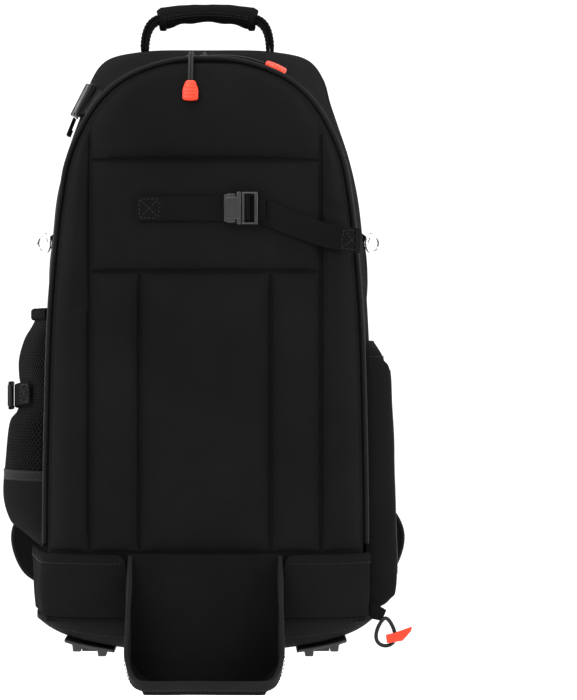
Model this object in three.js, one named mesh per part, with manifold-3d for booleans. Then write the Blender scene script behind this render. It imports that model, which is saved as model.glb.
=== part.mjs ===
// A camera backpack with a padded hollow body, a raised quilted front, two side pockets,
// a lash strap and an open pouch under it for long loads, a carrying handle and its harness.
// Millimetres. +X is the bag's left-to-right as seen from its front, +Y points to the wearer,
// +Z is up. Heights are written from the plane under the feet; the last group moves the
// origin to the middle of the back panel.
import * as THREE from 'three';
import { mergeVertices } from 'three/addons/utils/BufferGeometryUtils.js';
import Module from 'manifold-3d';

// Fits
const GAP = 0.3; // between pieces that touch
const EASE = 0.7; // extra room under a piece that lies on a curved seat
const CLOTH_GAP = 1.2; // between a wrap or pocket and the curved wall that it is sewn to

// Body
const BODY_H = 519; // feet plane to the top seam at the back
const BODY_W = 294; // widest, low down at the back
const CROWN_DROP = 23; // how much lower than the top seam the crown of the piping is
const FACE_INSET = 16; // how much nearer the middle than the widest the piping is
const FACE_H = BODY_H - CROWN_DROP;
const FACE_W = BODY_W - 2 * FACE_INSET;
const BASE_H = 34; // feet plane to the bottom edge of the walls
const SIT_H = 260; // feet plane to the middle of the back panel
const BACK_T = 14; // padded back panel
const BACK_EDGE_T = 6; // its thickness at the edge
const GUSSET_D = 148; // wearer's face to the piping
const WALL = 7; // padded side and top walls
const COVER_T = 4; // padded front cover
const FACE_RISE = 22; // how far the cover domes in front of the piping
const FACE_ROLL = 20; // distance from the piping over which it rises
const FACE_TUCK = 0.3; // share of the dome lost at its lower edge
const FACE_TUCK_H = 26; // height over which that fades
const BASE_T = 10; // padded base
const BASE_EDGE_T = 4; // its thickness at the edge
const BASE_DROP = 26; // how far the base bulges below its own edge
const BASE_INSET = 2; // its edge is nearer the middle than the walls
const BASE_BACK = 1; // its back edge to the wearer's face

// Quilted front
const PANEL_PAD = 8; // crown of a panel above its edge
const STRIP_PAD = 9; // crown of a side strip above its edge
const PAD_EDGE = 1.4; // thickness of a panel at its seams
const STRIP_SPAN = 37; // piping to the inner seam of a side strip
const GROOVE_X = FACE_W / 2 - STRIP_SPAN; // half the width of the raised front
const GROOVE_W = 3; // width of the seams between panels
const STRIP_LEAST = 6; // a side strip and its seam are never narrower than this
const PIPING_MARGIN = 5; // what lies on the front stays this far inside the piping
const CENTRE_X = 54; // half the width of the lower centre panel
const SEAM_LOW_H = 321; // seam under the middle panel
const SEAM_HIGH_H = 413; // seam over the middle panel
const BOOT_H = 91; // top edge of the corner boots
const CROWN_TRIM = 2; // how far the cover stays under the crown of the piping
const HIGH_EASE = 1.5; // crowds the rows of the top panel towards the crown
const PIPING_R = 2.2;

// Corner boots
const BOOT_T = 5;
const BOOT_INNER_X = 65; // inner edge on the front
const BOOT_LEFT_BACK = 44; // distance from the wearer's face where the left boot ends
const BOOT_RIGHT_BACK = GUSSET_D - 2; // the right one stops short of the zipped pocket
const BOOT_CREEP = 1.4; // crowds the points of its front towards the corner
const BOOT_STEP = 26; // distance between the points of its side

// Mesh pocket on the left
const MESH_T = 2;
const MESH_PROUD = 30;
const MESH_TOP_H = 283;
const MESH_FRONT = GUSSET_D - 12; // distances from the wearer's face
const MESH_BACK = 36;
const MESH_FOOT_H = BOOT_H + 1;
const HEM_R = 3;
const HEM_OUT = 1.6; // the hem's middle is this far outside the mesh
const SIDE_STRAP_H = 221; // its middle at the pocket's front edge
const SIDE_STRAP_FALL = 8; // how much lower it is at the pocket's back edge
const SIDE_STRAP_W = 19;
const SIDE_SLIDER_W = 17;
const SIDE_SLIDER_T = 4;
const SIDE_SLIDER_RIM = 2.5; // it is wider than the strap by this on each side

// Zipped pocket on the right
const BOX_T = 2.5;
const BOX_PROUD = 16; // how far its foot stands out past the widest of the body
const BOX_OUT_X = BODY_W / 2 + BOX_PROUD;
const BOX_LEAN = 7; // how much nearer the outer face is at its head
const BOX_TOP_H = 264;
const BOX_LOW_H = 37;
const BOX_FRONT = GUSSET_D - 7;
const BOX_BACK = 48;
const TAB_T = 2.5;
const TAG_T = 3;
const LOOP_OUT = 4.4; // the pull hangs this far in front of the tab
const LOOP_IN = 13; // its middle is this much nearer the middle than the pocket's side
const LOOP_FALL = 16; // and this far below the pocket's foot

// Webbing
const WEB_W = 20; // lash strap
const WEB_T = 1.6;
const BUCKLE_T = 9;
const BUCKLE_H = 27;
const BUCKLE_CUT = 3; // its corners are cut off by this
const SOCKET_W = 14;
const PLUG_W = 13.5;
const PLUG_LESS = 2; // the plug is thinner than the socket by this
const PLUG_BAR = 3; // the bar that the webbing turns round
const PLUG_SLOT = 3.5;
const BUCKLE_X = 15.5; // left edge of the socket
const LASH_H = 372;
const LASH_LEFT_X = -56; // where the left end is sewn down
const LASH_RIGHT_X = FACE_W / 2 - 4; // where the right end is sewn down
const LASH_BEND_X = 43; // where the right part starts to hang
const LASH_DROOP = 26; // how much lower the right end is
const LASH_EVEN = 6; // how much of that is an even fall
const LASH_LEAN = 0.4; // slope of the right part's first end

// Open pouch
const POUCH_W = 128;
const POUCH_D = 72;
const POUCH_LOW_H = -21;
const POUCH_TOP_H = 88;
const LIP_BAND = 11.5; // height of the front wall, up to the lip
const POUCH_LIP_H = POUCH_LOW_H + LIP_BAND;
const POUCH_T = 2;
const POUCH_ROUND = 32;
const POUCH_ROUND_X = 1.1; // its lower corners are this many times wider than high
const POUCH_TOE = 0.78 * LIP_BAND; // rounding of its lower front edge
const LIP_D = 16; // how far the rim runs back from the lip
const LIP_RISE = 4; // and how much it rises there
const RIM_D = 40; // how far back the rim has reached RIM_H
const RIM_H = 30;

// Feet
const FOOT_IN = 50; // its middle is this far inside the widest of the body
const FOOT_X = BODY_W / 2 - FOOT_IN;
const FOOT_W = 42;
const FOOT_T = 3;
const FOOT_BACK = 45;
const FOOT_L = 100;
const RAIL_W = 8;
const RAIL_TAPER = 0.6; // a rail is this much narrower at its bottom on each side
const RAIL_PITCH = 21;
const OUTER_RAIL_H = 4; // bottom of the outer rail above the feet plane

// Handle
const GRIP_L = 86;
const GRIP_R = 11;
const GRIP_OVAL = 1.1; // the grip is this many times deeper than high
const GRIP_H = 550; // centre of the grip
const GRIP_SAG = 3.5; // its ends are lower than its middle
const HANDLE_Y = -26;
const HANDLE_LEG_X = 55;
const HANDLE_W = 22;
const HANDLE_T = 7;
const HANDLE_SHOULDER = 6; // the legs turn in this far below the grip's middle

// Harness
const STRAP_W = 62;
const STRAP_T = 11;
const STRAP_BOW = 46; // how far the shoulder straps stand off the back
const STRAP_TWIST = 0.25; // they lie round the shoulder with this slope
const TAIL_W = 25;
const TAIL_FALL = 45; // straight stretch of a tail below its strap
const TAIL_IN = 22; // its lower end is this far inside the widest of the body
const TAIL_OFF = 4; // and this far off the back
const TAIL_OVER_WING = 12;
const WING_REACH = 174;
const WING_ROOT_X = 62;
const WING_T = 12;
const WING_H = 82;
const WING_LOW_H = 46;
const WING_BEVEL_T = 2;
const WING_BEVEL = 3;
const RING_R = 1.7;
const RING_W = 20;
const RING_H = 16;
const RING_AT_H = 352;
const RING_TURN = 0.9; // radians that a ring is turned from facing the front
const RING_OUT = 1; // its middle is this far outside the widest of the body
const RING_OFF = 0.55; // share of STRAP_BOW that it stands off the back

// Strap and buckle on the upper left wall
const SIDE_BUCKLE_H = 470;
const SIDE_BUCKLE_W = 34;
const UPPER_TAIL_L = 17;
const UPPER_TAIL_W = 20;
const UPPER_TAIL_LEAN = 0.12; // it hangs this much off the wall's slope

// Zip pulls
const ZIP_SET = 10; // how far the zip lies behind the piping
const ZIP_D = GUSSET_D - ZIP_SET;
const SLIDER_GAP = 3; // between the two sliders
const PULL_HANG = 18; // crown of the piping to the hanging cord's end
const PULL_SWAY = 2.5; // how far the lying cord bows towards the wearer
const GRIP_EASE = 1.6; // room under the lying grip
const SLIDER_W = 8;
const SLIDER_L = 9;
const SLIDER_T = 4;
const HANG_PULL_X = -12; // the pull that hangs on the front
const LYING_PULL_X = 49; // where the other one's grip begins
const LOOP_W = 15; // loop on the zipped pocket's pull
const LOOP_H = 23;
const LOOP_R = 1.6;
const PULL_CORD_R = 2.1;
const PULL_GRIP_L = 17;
const PULL_GRIP_W = 13;
const PULL_GRIP_T = 5;

// Outlines of the body, a row for each level of one side from the base to the crown.
// Half widths are shares of half BODY_W and half FACE_W; rises are shares of the wall
// heights above BASE_H.
const OUTLINE = [
  // rear half, rear rise, face half, face rise
  [0.986, 0.0, 0.992, 0.0],
  [1.0, 0.12, 1.0, 0.121],
  [0.98, 0.322, 0.992, 0.327],
  [0.946, 0.548, 0.969, 0.543],
  [0.925, 0.641, 0.939, 0.652],
  [0.891, 0.734, 0.901, 0.749],
  [0.837, 0.806, 0.855, 0.82],
  [0.776, 0.862, 0.763, 0.883],
  [0.728, 0.905, 0.656, 0.929],
  [0.687, 0.948, 0.519, 0.963],
  [0.605, 0.981, 0.351, 0.985],
  [0.4, 0.997, 0.183, 0.997],
  [0.0, 1.0, 0.0, 1.0],
];
const OUTLINE_ROWS = OUTLINE.length - 1;

// The base's lower face across the bag: how much of BASE_DROP is reached.
const BASE_SECTION = [
  // share of the half width, share of the drop
  [0.0, 1.0],
  [0.4, 0.98],
  [0.57, 0.87],
  [0.74, 0.69],
  [0.84, 0.52],
  [0.92, 0.33],
  [1.0, 0.0],
];

// How far the mesh pocket stands out, from its foot to its hem.
const MESH_SECTION = [
  // share of its height, share of MESH_PROUD
  [0.0, 0.06],
  [0.05, 0.45],
  [0.1, 0.78],
  [0.2, 0.94],
  [0.3, 0.97],
  [0.45, 0.93],
  [0.54, 0.84],
  [0.58, 0.66],
  [0.61, 0.6],
  [0.7, 0.59],
  [0.735, 0.64],
  [0.81, 0.68],
  [0.9, 0.57],
  [0.96, 0.38],
  [1.0, 0.26],
];

// How far the zipped pocket stands out, from its foot to its head.
const BOX_SECTION = [
  // share of its height, share of the full stand
  [0.0, 0.1],
  [0.04, 0.7],
  [0.1, 0.96],
  [0.5, 1.0],
  [0.86, 0.97],
  [0.93, 0.72],
  [1.0, 0.12],
];

// The shoulder strap's middle line, from its upper end to its lower end.
const STRAP_LINE = [
  // share of half BODY_W, share of BODY_H, share of STRAP_BOW, share of STRAP_W
  [0.22, 0.935, 0.0, 0.8],
  [0.27, 0.89, 0.4, 0.9],
  [0.46, 0.8, 0.96, 1.0],
  [0.66, 0.72, 1.0, 1.02],
  [0.75, 0.67, 0.94, 1.02],
  [0.78, 0.6, 0.8, 0.96],
  [0.78, 0.52, 0.52, 0.8],
  [0.79, 0.455, 0.32, 0.56],
];

// The round end of a waist wing, from its lower edge to its upper edge.
const WING_END = [
  // distance from the tip in shares of WING_H, share of WING_H
  [0.366, 0.0],
  [0.122, 0.171],
  [0.0, 0.5],
  [0.049, 0.72],
  [0.244, 0.94],
  [0.488, 1.0],
];

// The end tab of the zipped pocket and the tag of its pull.
const TAB_OUTLINE = [
  // distance from the pocket's side, height above the pocket's foot
  [-26, 10],
  [-12, 2],
  [-16, -7],
  [-26, -5],
];
const TAG_OUTLINE = [
  // distance from the pocket's side, height above the pocket's foot
  [-13, -18],
  [-5, -16],
  [9, -11],
  [8, -15],
  [1, -23],
  [-12, -25],
];

const cloth = (hex, rough) => new THREE.MeshStandardMaterial({
  color: hex, roughness: rough, metalness: 0,
});
const bodyCloth = cloth(0x1c1c1d, 0.9);
const baseCloth = cloth(0x262627, 0.7);
const webbing = cloth(0x1a1a1b, 0.75);
const meshCloth = cloth(0x141414, 0.95);
const pipingCloth = cloth(0x2b2b2c, 0.5);
const backCloth = cloth(0x18181a, 0.95);
const plastic = cloth(0x202022, 0.4);
const footPlastic = cloth(0x2a2a2b, 0.6);
const orangeRubber = cloth(0xee4c1c, 0.45);
const cordCloth = cloth(0x18181a, 0.7);
const ringMetal = new THREE.MeshStandardMaterial({ color: 0xc9cacc, roughness: 0.2, metalness: 1 });

const wasm = await Module();
wasm.setup();

const point = (x, y, z) => new THREE.Vector3(x, y, z);
const mix = THREE.MathUtils.lerp;
const steps = (count, from = 0, to = 1) => Array.from(
  { length: count + 1 },
  (_, i) => mix(from, to, i / count),
);

// The value of a table's column at a share of its first column.
function along(table, share, column = 1) {
  const last = table.length - 1;
  let row = 0;
  while (row < last - 1 && share > table[row + 1][0]) row += 1;
  const [from, to] = [table[row], table[row + 1]];
  const part = THREE.MathUtils.clamp((share - from[0]) / (to[0] - from[0]), 0, 1);
  return mix(from[column], to[column], part);
}

// A geometry from points and triangles, turned so that its faces point out.
function closed(points, faces) {
  let volume = 0;
  for (let i = 0; i < faces.length; i += 3) {
    const [a, b, c] = [points[faces[i]], points[faces[i + 1]], points[faces[i + 2]]];
    volume += a.dot(b.clone().cross(c));
  }
  const index = volume < 0 ? faces.slice().reverse() : faces;
  const geometry = new THREE.BufferGeometry();
  geometry.setAttribute(
    'position',
    new THREE.Float32BufferAttribute(points.flatMap((p) => p.toArray()), 3),
  );
  geometry.setIndex(index);
  return geometry;
}

// A closed body between two sheets that share one grid of rows and columns.
function slab(front, back) {
  const [rows, cols] = [front.length, front[0].length];
  const at = (side, r, c) => side * rows * cols + r * cols + c;
  const faces = [];
  const quad = (a, b, c, d) => faces.push(a, b, c, a, c, d);
  for (let r = 0; r < rows - 1; r += 1) {
    for (let c = 0; c < cols - 1; c += 1) {
      quad(at(0, r, c), at(0, r, c + 1), at(0, r + 1, c + 1), at(0, r + 1, c));
      quad(at(1, r, c), at(1, r + 1, c), at(1, r + 1, c + 1), at(1, r, c + 1));
    }
  }
  const [top, end] = [rows - 1, cols - 1];
  for (let c = 0; c < end; c += 1) {
    quad(at(0, 0, c + 1), at(0, 0, c), at(1, 0, c), at(1, 0, c + 1));
    quad(at(0, top, c), at(0, top, c + 1), at(1, top, c + 1), at(1, top, c));
  }
  for (let r = 0; r < top; r += 1) {
    quad(at(0, r, 0), at(0, r + 1, 0), at(1, r + 1, 0), at(1, r, 0));
    quad(at(0, r + 1, end), at(0, r, end), at(1, r, end), at(1, r + 1, end));
  }
  return closed([...front.flat(), ...back.flat()], faces);
}

// A closed body through rings of points, capped at its ends or joined into a loop.
function loft(rings, loop = false) {
  const [count, n] = [rings.length, rings[0].length];
  const points = rings.flat();
  const faces = [];
  for (let i = 0; i < (loop ? count : count - 1); i += 1) {
    const next = ((i + 1) % count) * n;
    for (let k = 0; k < n; k += 1) {
      const l = (k + 1) % n;
      faces.push(i * n + k, i * n + l, next + l, i * n + k, next + l, next + k);
    }
  }
  if (!loop) {
    for (const [first, turn] of [[0, true], [(count - 1) * n, false]]) {
      const middle = points.length;
      const sum = point(0, 0, 0);
      for (let k = 0; k < n; k += 1) sum.add(points[first + k]);
      points.push(sum.divideScalar(n));
      for (let k = 0; k < n; k += 1) {
        const [a, b] = [first + k, first + ((k + 1) % n)];
        faces.push(...(turn ? [middle, b, a] : [middle, a, b]));
      }
    }
  }
  return closed(points, faces);
}

// A flat strap: a rectangle carried along a line of points, its width along one direction, or
// along one for each point.
function strap(line, across, width, thickness) {
  const wide = (i) => (Array.isArray(width) ? width[i] : width) / 2;
  const rings = line.map((p, i) => {
    const before = line[Math.max(i - 1, 0)];
    const after = line[Math.min(i + 1, line.length - 1)];
    const way = after.clone().sub(before).normalize();
    const dir = Array.isArray(across) ? across[i] : across;
    const side = dir.clone().addScaledVector(way, -dir.dot(way)).normalize();
    const up = way.clone().cross(side);
    return [[-1, -1], [1, -1], [1, 1], [-1, 1]].map(([a, b]) => p.clone()
      .addScaledVector(side, a * wide(i))
      .addScaledVector(up, (b * thickness) / 2));
  });
  return loft(rings);
}

// A round tube along a smooth curve through points.
function tube(points, radius, sides, count) {
  const section = new THREE.Shape(steps(sides - 1, 0, 2 * Math.PI * (1 - 1 / sides))
    .map((a) => new THREE.Vector2(radius * Math.cos(a), radius * Math.sin(a))));
  return new THREE.ExtrudeGeometry(section, {
    steps: count, extrudePath: new THREE.CatmullRomCurve3(points), bevelEnabled: false,
  });
}

// A closed line of points in one plane, moved sideways by a distance with mitred corners.
function offsetLine(line, distance) {
  return line.map((p, i) => {
    const before = line[Math.max(i - 1, 0)];
    const after = line[Math.min(i + 1, line.length - 1)];
    const normal = (a, b) => new THREE.Vector2(b.y - a.y, a.x - b.x).normalize();
    const one = i > 0 ? normal(before, p) : normal(p, after);
    const two = i < line.length - 1 ? normal(p, after) : one;
    const half = one.clone().add(two).normalize();
    return p.clone().addScaledVector(half, distance / Math.max(half.dot(one), 0.4));
  });
}

function toSolid(geometry) {
  const bare = geometry.clone();
  bare.deleteAttribute('normal');
  bare.deleteAttribute('uv');
  const merged = mergeVertices(bare, 1e-4);
  return new wasm.Manifold(new wasm.Mesh({
    numProp: 3,
    vertProperties: new Float32Array(merged.attributes.position.array),
    triVerts: new Uint32Array(merged.index.array),
  }));
}

function fromSolid(body) {
  const mesh = body.getMesh();
  const geometry = new THREE.BufferGeometry();
  geometry.setAttribute('position', new THREE.BufferAttribute(mesh.vertProperties, 3));
  geometry.setIndex(new THREE.BufferAttribute(mesh.triVerts, 1));
  return geometry;
}

const pack = new THREE.Group();
function add(name, geometry, material) {
  const mesh = new THREE.Mesh(geometry, material);
  mesh.name = name;
  pack.add(mesh);
  return mesh;
}

// The rear and face outlines as smooth curves from the lower left over the crown to the
// lower right, with one parameter for both.
function outlineCurve(width, height, halfColumn, riseColumn) {
  const one = OUTLINE.map((row) => point(
    row[halfColumn] * (width / 2),
    0,
    BASE_H + row[riseColumn] * (height - BASE_H),
  ));
  const left = one.map((p) => point(-p.x, 0, p.z));
  return new THREE.CatmullRomCurve3([...left, ...one.slice(0, -1).reverse()], false, 'centripetal');
}
const rearCurve = outlineCurve(BODY_W, BODY_H, 0, 1);
const faceCurve = outlineCurve(FACE_W, FACE_H, 2, 3);

// A point of the outline between the rear (0) and the face (1).
function outlineAt(t, toFace) {
  return rearCurve.getPoint(t).lerp(faceCurve.getPoint(t), toFace);
}

// The walls keep the rear outline at first and then round in to the face.
const wallBack = -(BACK_T + GAP);
const roundIn = (share) => share ** 1.8;
const faceShare = (y) => roundIn(THREE.MathUtils.clamp((wallBack - y) / (wallBack + GUSSET_D), 0, 1));

// Finds the outline's parameter on the right half where one coordinate has a value.
function solveOutline(toFace, axis, value) {
  let [low, high] = [0.5, 1];
  const falls = axis === 'z';
  for (let i = 0; i < 40; i += 1) {
    const middle = (low + high) / 2;
    const here = outlineAt(middle, toFace)[axis];
    if ((here > value) === falls) low = middle;
    else high = middle;
  }
  return (low + high) / 2;
}

// The outer half width of the side wall at a height and a distance from the wearer's face.
function sideX(h, y) {
  return outlineAt(solveOutline(faceShare(y), 'z', h), faceShare(y)).x;
}

const faceHalf = (h) => sideX(h, -GUSSET_D);
function crownAt(x) {
  return outlineAt(solveOutline(1, 'x', x), 1).z;
}

// The inner face of the front cover: a dome that rises from the piping.
function coverY(x, h) {
  const side = Math.max(faceHalf(h) - Math.abs(x), 0);
  const up = Math.max(crownAt(Math.min(Math.abs(x), faceHalf(h))) - h, 0);
  const edge = side + up > 0 ? (side * up) / Math.hypot(side, up) : 0;
  const tuck = 1 - FACE_TUCK * Math.exp(-(h - BASE_H) / FACE_TUCK_H);
  return -(GUSSET_D + GAP + FACE_RISE * tuck * (1 - Math.exp(-edge / FACE_ROLL)));
}
const seatY = (x, h) => coverY(x, h) - COVER_T;

// One grid carries the cover and every panel on it, so that they lie face to face. Its
// columns fall in groups, and its rows in bands, with a seam between them.
const columnGroups = (h) => {
  const half = faceHalf(h);
  const groove = Math.min(GROOVE_X, half - STRIP_LEAST);
  const inner = Math.min(CENTRE_X, groove * 0.6);
  const seam = GROOVE_W / 2;
  const edge = half - GROOVE_W;
  const stripIn = Math.min(groove + GROOVE_W, edge - seam / 3);
  return {
    edgeLeft: [-half],
    stripLeft: steps(3, -edge, -stripIn),
    left: steps(3, -groove, -(inner + seam)),
    centre: steps(4, -(inner - seam), inner - seam),
    right: steps(3, inner + seam, groove),
    stripRight: steps(3, stripIn, edge),
    edgeRight: [half],
  };
};
const bands = {
  foot: steps(3, BASE_H + GAP, BOOT_H - GROOVE_W),
  low: steps(8, BOOT_H, SEAM_LOW_H - GROOVE_W / 2),
  middle: steps(4, SEAM_LOW_H + GROOVE_W / 2, SEAM_HIGH_H - GROOVE_W / 2),
  high: steps(8).map((s) => mix(
    SEAM_HIGH_H + GROOVE_W / 2,
    FACE_H - CROWN_TRIM,
    1 - (1 - s) ** HIGH_EASE,
  )),
};

function frontSlab(rows, groups, pad) {
  const back = rows.map((h) => {
    const columns = columnGroups(h);
    return groups.flatMap((name) => columns[name]).map((x) => point(x, seatY(x, h) - GAP, h));
  });
  const front = back.map((row, r) => row.map((p, c) => {
    const u = (2 * c) / (row.length - 1) - 1;
    const v = (2 * r) / (back.length - 1) - 1;
    const crown = (1 - u ** 4) * (1 - v ** 8);
    return point(p.x, p.y - PAD_EDGE - pad * crown, p.z);
  }));
  return slab(front, back);
}

// The cover is sewn from a lower and an upper part, which meet in the lower seam.
function frontCover() {
  const [under, over] = [SEAM_LOW_H - GAP / 2, SEAM_LOW_H + GAP / 2];
  for (const [name, rows] of [
    ['front_cover_low', [...bands.foot, ...bands.low, under]],
    ['front_cover_high', [over, ...bands.middle, ...bands.high]],
  ]) {
    const sheet = (offset) => rows.map((h) => Object.values(columnGroups(h)).flat()
      .map((x) => point(x, coverY(x, h) - offset, h)));
    add(name, slab(sheet(COVER_T), sheet(0)), bodyCloth);
  }
}

function frontPanels() {
  const whole = ['left', 'centre', 'right'];
  const stripRows = [...bands.low, ...bands.middle, ...bands.high].filter(
    (h) => faceHalf(h) > GROOVE_X + 3 * GROOVE_W,
  );
  add('front_panel_top', frontSlab(bands.high, whole, PANEL_PAD), bodyCloth);
  add('front_panel_middle', frontSlab(bands.middle, whole, PANEL_PAD), bodyCloth);
  add('front_panel_low_left', frontSlab(bands.low, ['left'], PANEL_PAD), bodyCloth);
  add('front_panel_low_centre', frontSlab(bands.low, ['centre'], PANEL_PAD), bodyCloth);
  add('front_panel_low_right', frontSlab(bands.low, ['right'], PANEL_PAD), bodyCloth);
  add('front_strip_left', frontSlab(stripRows, ['stripLeft'], STRIP_PAD), bodyCloth);
  add('front_strip_right', frontSlab(stripRows, ['stripRight'], STRIP_PAD), bodyCloth);
}

// The side and top walls: the outline carried from the back panel to the piping.
function gusset(name, fromRow, toRow, count) {
  const trim = 0.0006;
  const ts = steps(count, fromRow / (2 * OUTLINE_ROWS) + trim, toRow / (2 * OUTLINE_ROWS) - trim);
  const depths = steps(6);
  const sheet = (wall) => ts.map((t) => depths.map((d) => {
    const share = roundIn(d);
    const p = outlineAt(t, share);
    const way = outlineAt(Math.min(t + 0.004, 1), share)
      .sub(outlineAt(Math.max(t - 0.004, 0), share)).normalize();
    const foot = p.z < BASE_H + GAP ? BASE_H + GAP : p.z;
    return point(p.x + way.z * wall, mix(wallBack, -GUSSET_D, d), foot - way.x * wall);
  }));
  add(name, slab(sheet(0), sheet(WALL)), bodyCloth);
}

function backPanel() {
  const rows = [...steps(10, BASE_H + GAP, 0.86 * BODY_H), ...steps(6, 0.88 * BODY_H, BODY_H - 2)];
  const half = (h) => outlineAt(solveOutline(0, 'z', h), 0).x;
  const sheet = (face) => rows.map((h, r) => steps(12, -1, 1).map((u) => {
    const v = (2 * r) / (rows.length - 1) - 1;
    const edge = (1 - Math.abs(u) ** 10) * (1 - Math.abs(v) ** 14);
    const sunk = (BACK_T - BACK_EDGE_T) * (1 - edge);
    return point(u * half(h), face ? -sunk : -BACK_T, h);
  }));
  add('back_panel', slab(sheet(true), sheet(false)), backCloth);
}

const baseHalf = BODY_W / 2 - BASE_INSET;
function baseLow(x, frontShare = 0.5) {
  const reached = along(BASE_SECTION, Math.abs(x) / baseHalf);
  return BASE_H - BASE_EDGE_T - BASE_DROP * reached * (1 - Math.abs(2 * frontShare - 1) ** 7);
}

function base() {
  const columns = [...BASE_SECTION.slice(1).map((row) => -row[0]).reverse(), -0.2, 0, 0.2,
    ...BASE_SECTION.slice(1).map((row) => row[0])];
  const sheet = (upper) => steps(8).map((v) => columns.map((u) => {
    const corner = 1 - 0.09 * v ** 6;
    const x = u * baseHalf * corner;
    const front = coverY(Math.min(Math.abs(x), faceHalf(BASE_H + 1)), BASE_H + 1) - COVER_T;
    const low = baseLow(u * baseHalf, v);
    const h = upper ? Math.min(low + BASE_T, BASE_H) : low;
    return point(x, mix(-BASE_BACK, front, v), h);
  }));
  add('base_panel', slab(sheet(false), sheet(true)), baseCloth);
}

// A boot wraps a lower corner, from the front round onto the side wall.
function boot(name, side, backAt) {
  const rows = steps(3, BASE_H + EASE + GAP, BOOT_H - GROOVE_W - EASE);
  const path = (h) => {
    const half = faceHalf(h);
    const face = steps(5).map((s) => mix(BOOT_INNER_X, half - 2, 1 - (1 - s) ** BOOT_CREEP))
      .map((x) => new THREE.Vector2(x, seatY(x, h)));
    const count = Math.max(1, Math.round((GUSSET_D - backAt) / BOOT_STEP));
    const flank = steps(count, GUSSET_D, backAt).slice(1)
      .map((d) => new THREE.Vector2(sideX(h, -d), -d));
    return [...face, new THREE.Vector2(half, -(GUSSET_D + COVER_T)), ...flank];
  };
  const sheet = (distance) => rows.map((h) => offsetLine(path(h), distance)
    .map((p) => point(side * p.x, p.y, h)));
  add(name, slab(sheet(CLOTH_GAP + BOOT_T), sheet(CLOTH_GAP)), bodyCloth);
}

// A pocket wall that stands out from a side wall, as two sheets over rows of heights.
function pocketSheets(side, rows, front, back, standAt, columns, thickness) {
  const sheet = (distance) => rows.map((h, r) => {
    const line = columns.map((s) => {
      const y = -mix(front, back, s);
      return new THREE.Vector2(sideX(h, y) + CLOTH_GAP + standAt(h, r, s, y), y);
    });
    return offsetLine(line, distance).map((p) => point(side * p.x, p.y, h));
  });
  return [sheet(thickness), sheet(0)];
}

const meshRise = MESH_TOP_H - MESH_FOOT_H;
const meshArc = (s) => Math.sin(Math.PI * s) ** 0.62;
function meshStand(h) {
  return MESH_PROUD * along(MESH_SECTION, (h - MESH_FOOT_H) / meshRise);
}

function meshPocket() {
  const rows = MESH_SECTION.map((row) => MESH_FOOT_H + row[0] * meshRise);
  const columns = [0, 0.03, 0.1, 0.22, 0.36, 0.5, 0.64, 0.78, 0.9, 0.97, 1];
  const [outer, inner] = pocketSheets(
    -1, rows, MESH_FRONT, MESH_BACK, (h, r, s) => meshStand(h) * meshArc(s), columns, MESH_T,
  );
  add('mesh_pocket', slab(outer, inner), meshCloth);
  const top = columns.map((s) => {
    const y = -mix(MESH_FRONT, MESH_BACK, s);
    const stand = meshStand(MESH_TOP_H) * meshArc(s);
    const x = sideX(MESH_TOP_H, y) + CLOTH_GAP + MESH_T / 2 + stand + HEM_OUT;
    return point(-x, y, MESH_TOP_H + HEM_R + GAP);
  });
  add('mesh_pocket_hem', tube(top, HEM_R, 8, 18), webbing);
}

// The strap round the mesh pocket, with its slider at the front.
function sideStrap() {
  const out = MESH_T + CLOTH_GAP + 2 * GAP + EASE + WEB_T / 2;
  const [count, spread] = [14, 2.2];
  const edges = [-1, 1].flatMap((k) => [0, SIDE_STRAP_FALL].map(
    (fall) => SIDE_STRAP_H - fall + (k * SIDE_STRAP_W) / 2,
  ));
  const stand = Math.max(...edges.map(meshStand));
  const line = steps(count, 0.1, 0.97).map((s, i) => {
    const y = -mix(MESH_FRONT, MESH_BACK, s);
    const h = SIDE_STRAP_H - SIDE_STRAP_FALL * s;
    const away = spread * ((2 * i) / count - 1) ** 3;
    return point(-(sideX(h, y) + stand * meshArc(s) + out), y + away, h);
  });
  add('side_strap', strap(line, point(0, 0, 1), SIDE_STRAP_W, WEB_T), webbing);
  const under = line.filter((p) => Math.abs(p.y - line[6].y) < SIDE_SLIDER_W);
  const seat = Math.max(...under.map((p) => -p.x)) + WEB_T / 2 + GAP;
  const slider = new THREE.BoxGeometry(SIDE_SLIDER_T, SIDE_SLIDER_W, SIDE_STRAP_W + 2 * SIDE_SLIDER_RIM);
  slider.translate(-(seat + SIDE_SLIDER_T / 2), line[6].y, line[6].z);
  add('side_strap_slider', slider, plastic);
}

function zipPocket() {
  const rise = BOX_TOP_H - BOX_LOW_H;
  const rows = BOX_SECTION.map((row) => BOX_LOW_H + row[0] * rise);
  const columns = [0, 0.012, 0.06, 0.14, 0.3, 0.5, 0.7, 0.86, 0.94, 0.988, 1];
  const square = (s) => (1 - Math.abs(2 * s - 1) ** 9) ** 0.5;
  const stand = (h, r, s, y) => {
    const out = BOX_OUT_X - BOX_T - BOX_LEAN * ((h - BOX_LOW_H) / rise);
    return (out - sideX(h, y) - CLOTH_GAP) * BOX_SECTION[r][1] * square(s);
  };
  const [outer, inner] = pocketSheets(1, rows, BOX_FRONT, BOX_BACK, stand, columns, BOX_T);
  add('zip_pocket', slab(outer, inner), bodyCloth);
}

// The strip of piping round the front, from boot to boot.
function piping() {
  const first = 1 - solveOutline(1, 'z', BOOT_H + 4);
  const line = steps(40, first, 1 - first).map((t) => {
    const way = faceCurve.getTangent(t);
    const out = PIPING_R + 3 * GAP;
    const p = faceCurve.getPoint(t);
    return point(p.x - way.z * out, -(GUSSET_D + COVER_T / 2), p.z + way.x * out);
  });
  add('piping', tube(line, PIPING_R, 6, 44), pipingCloth);
}

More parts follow.
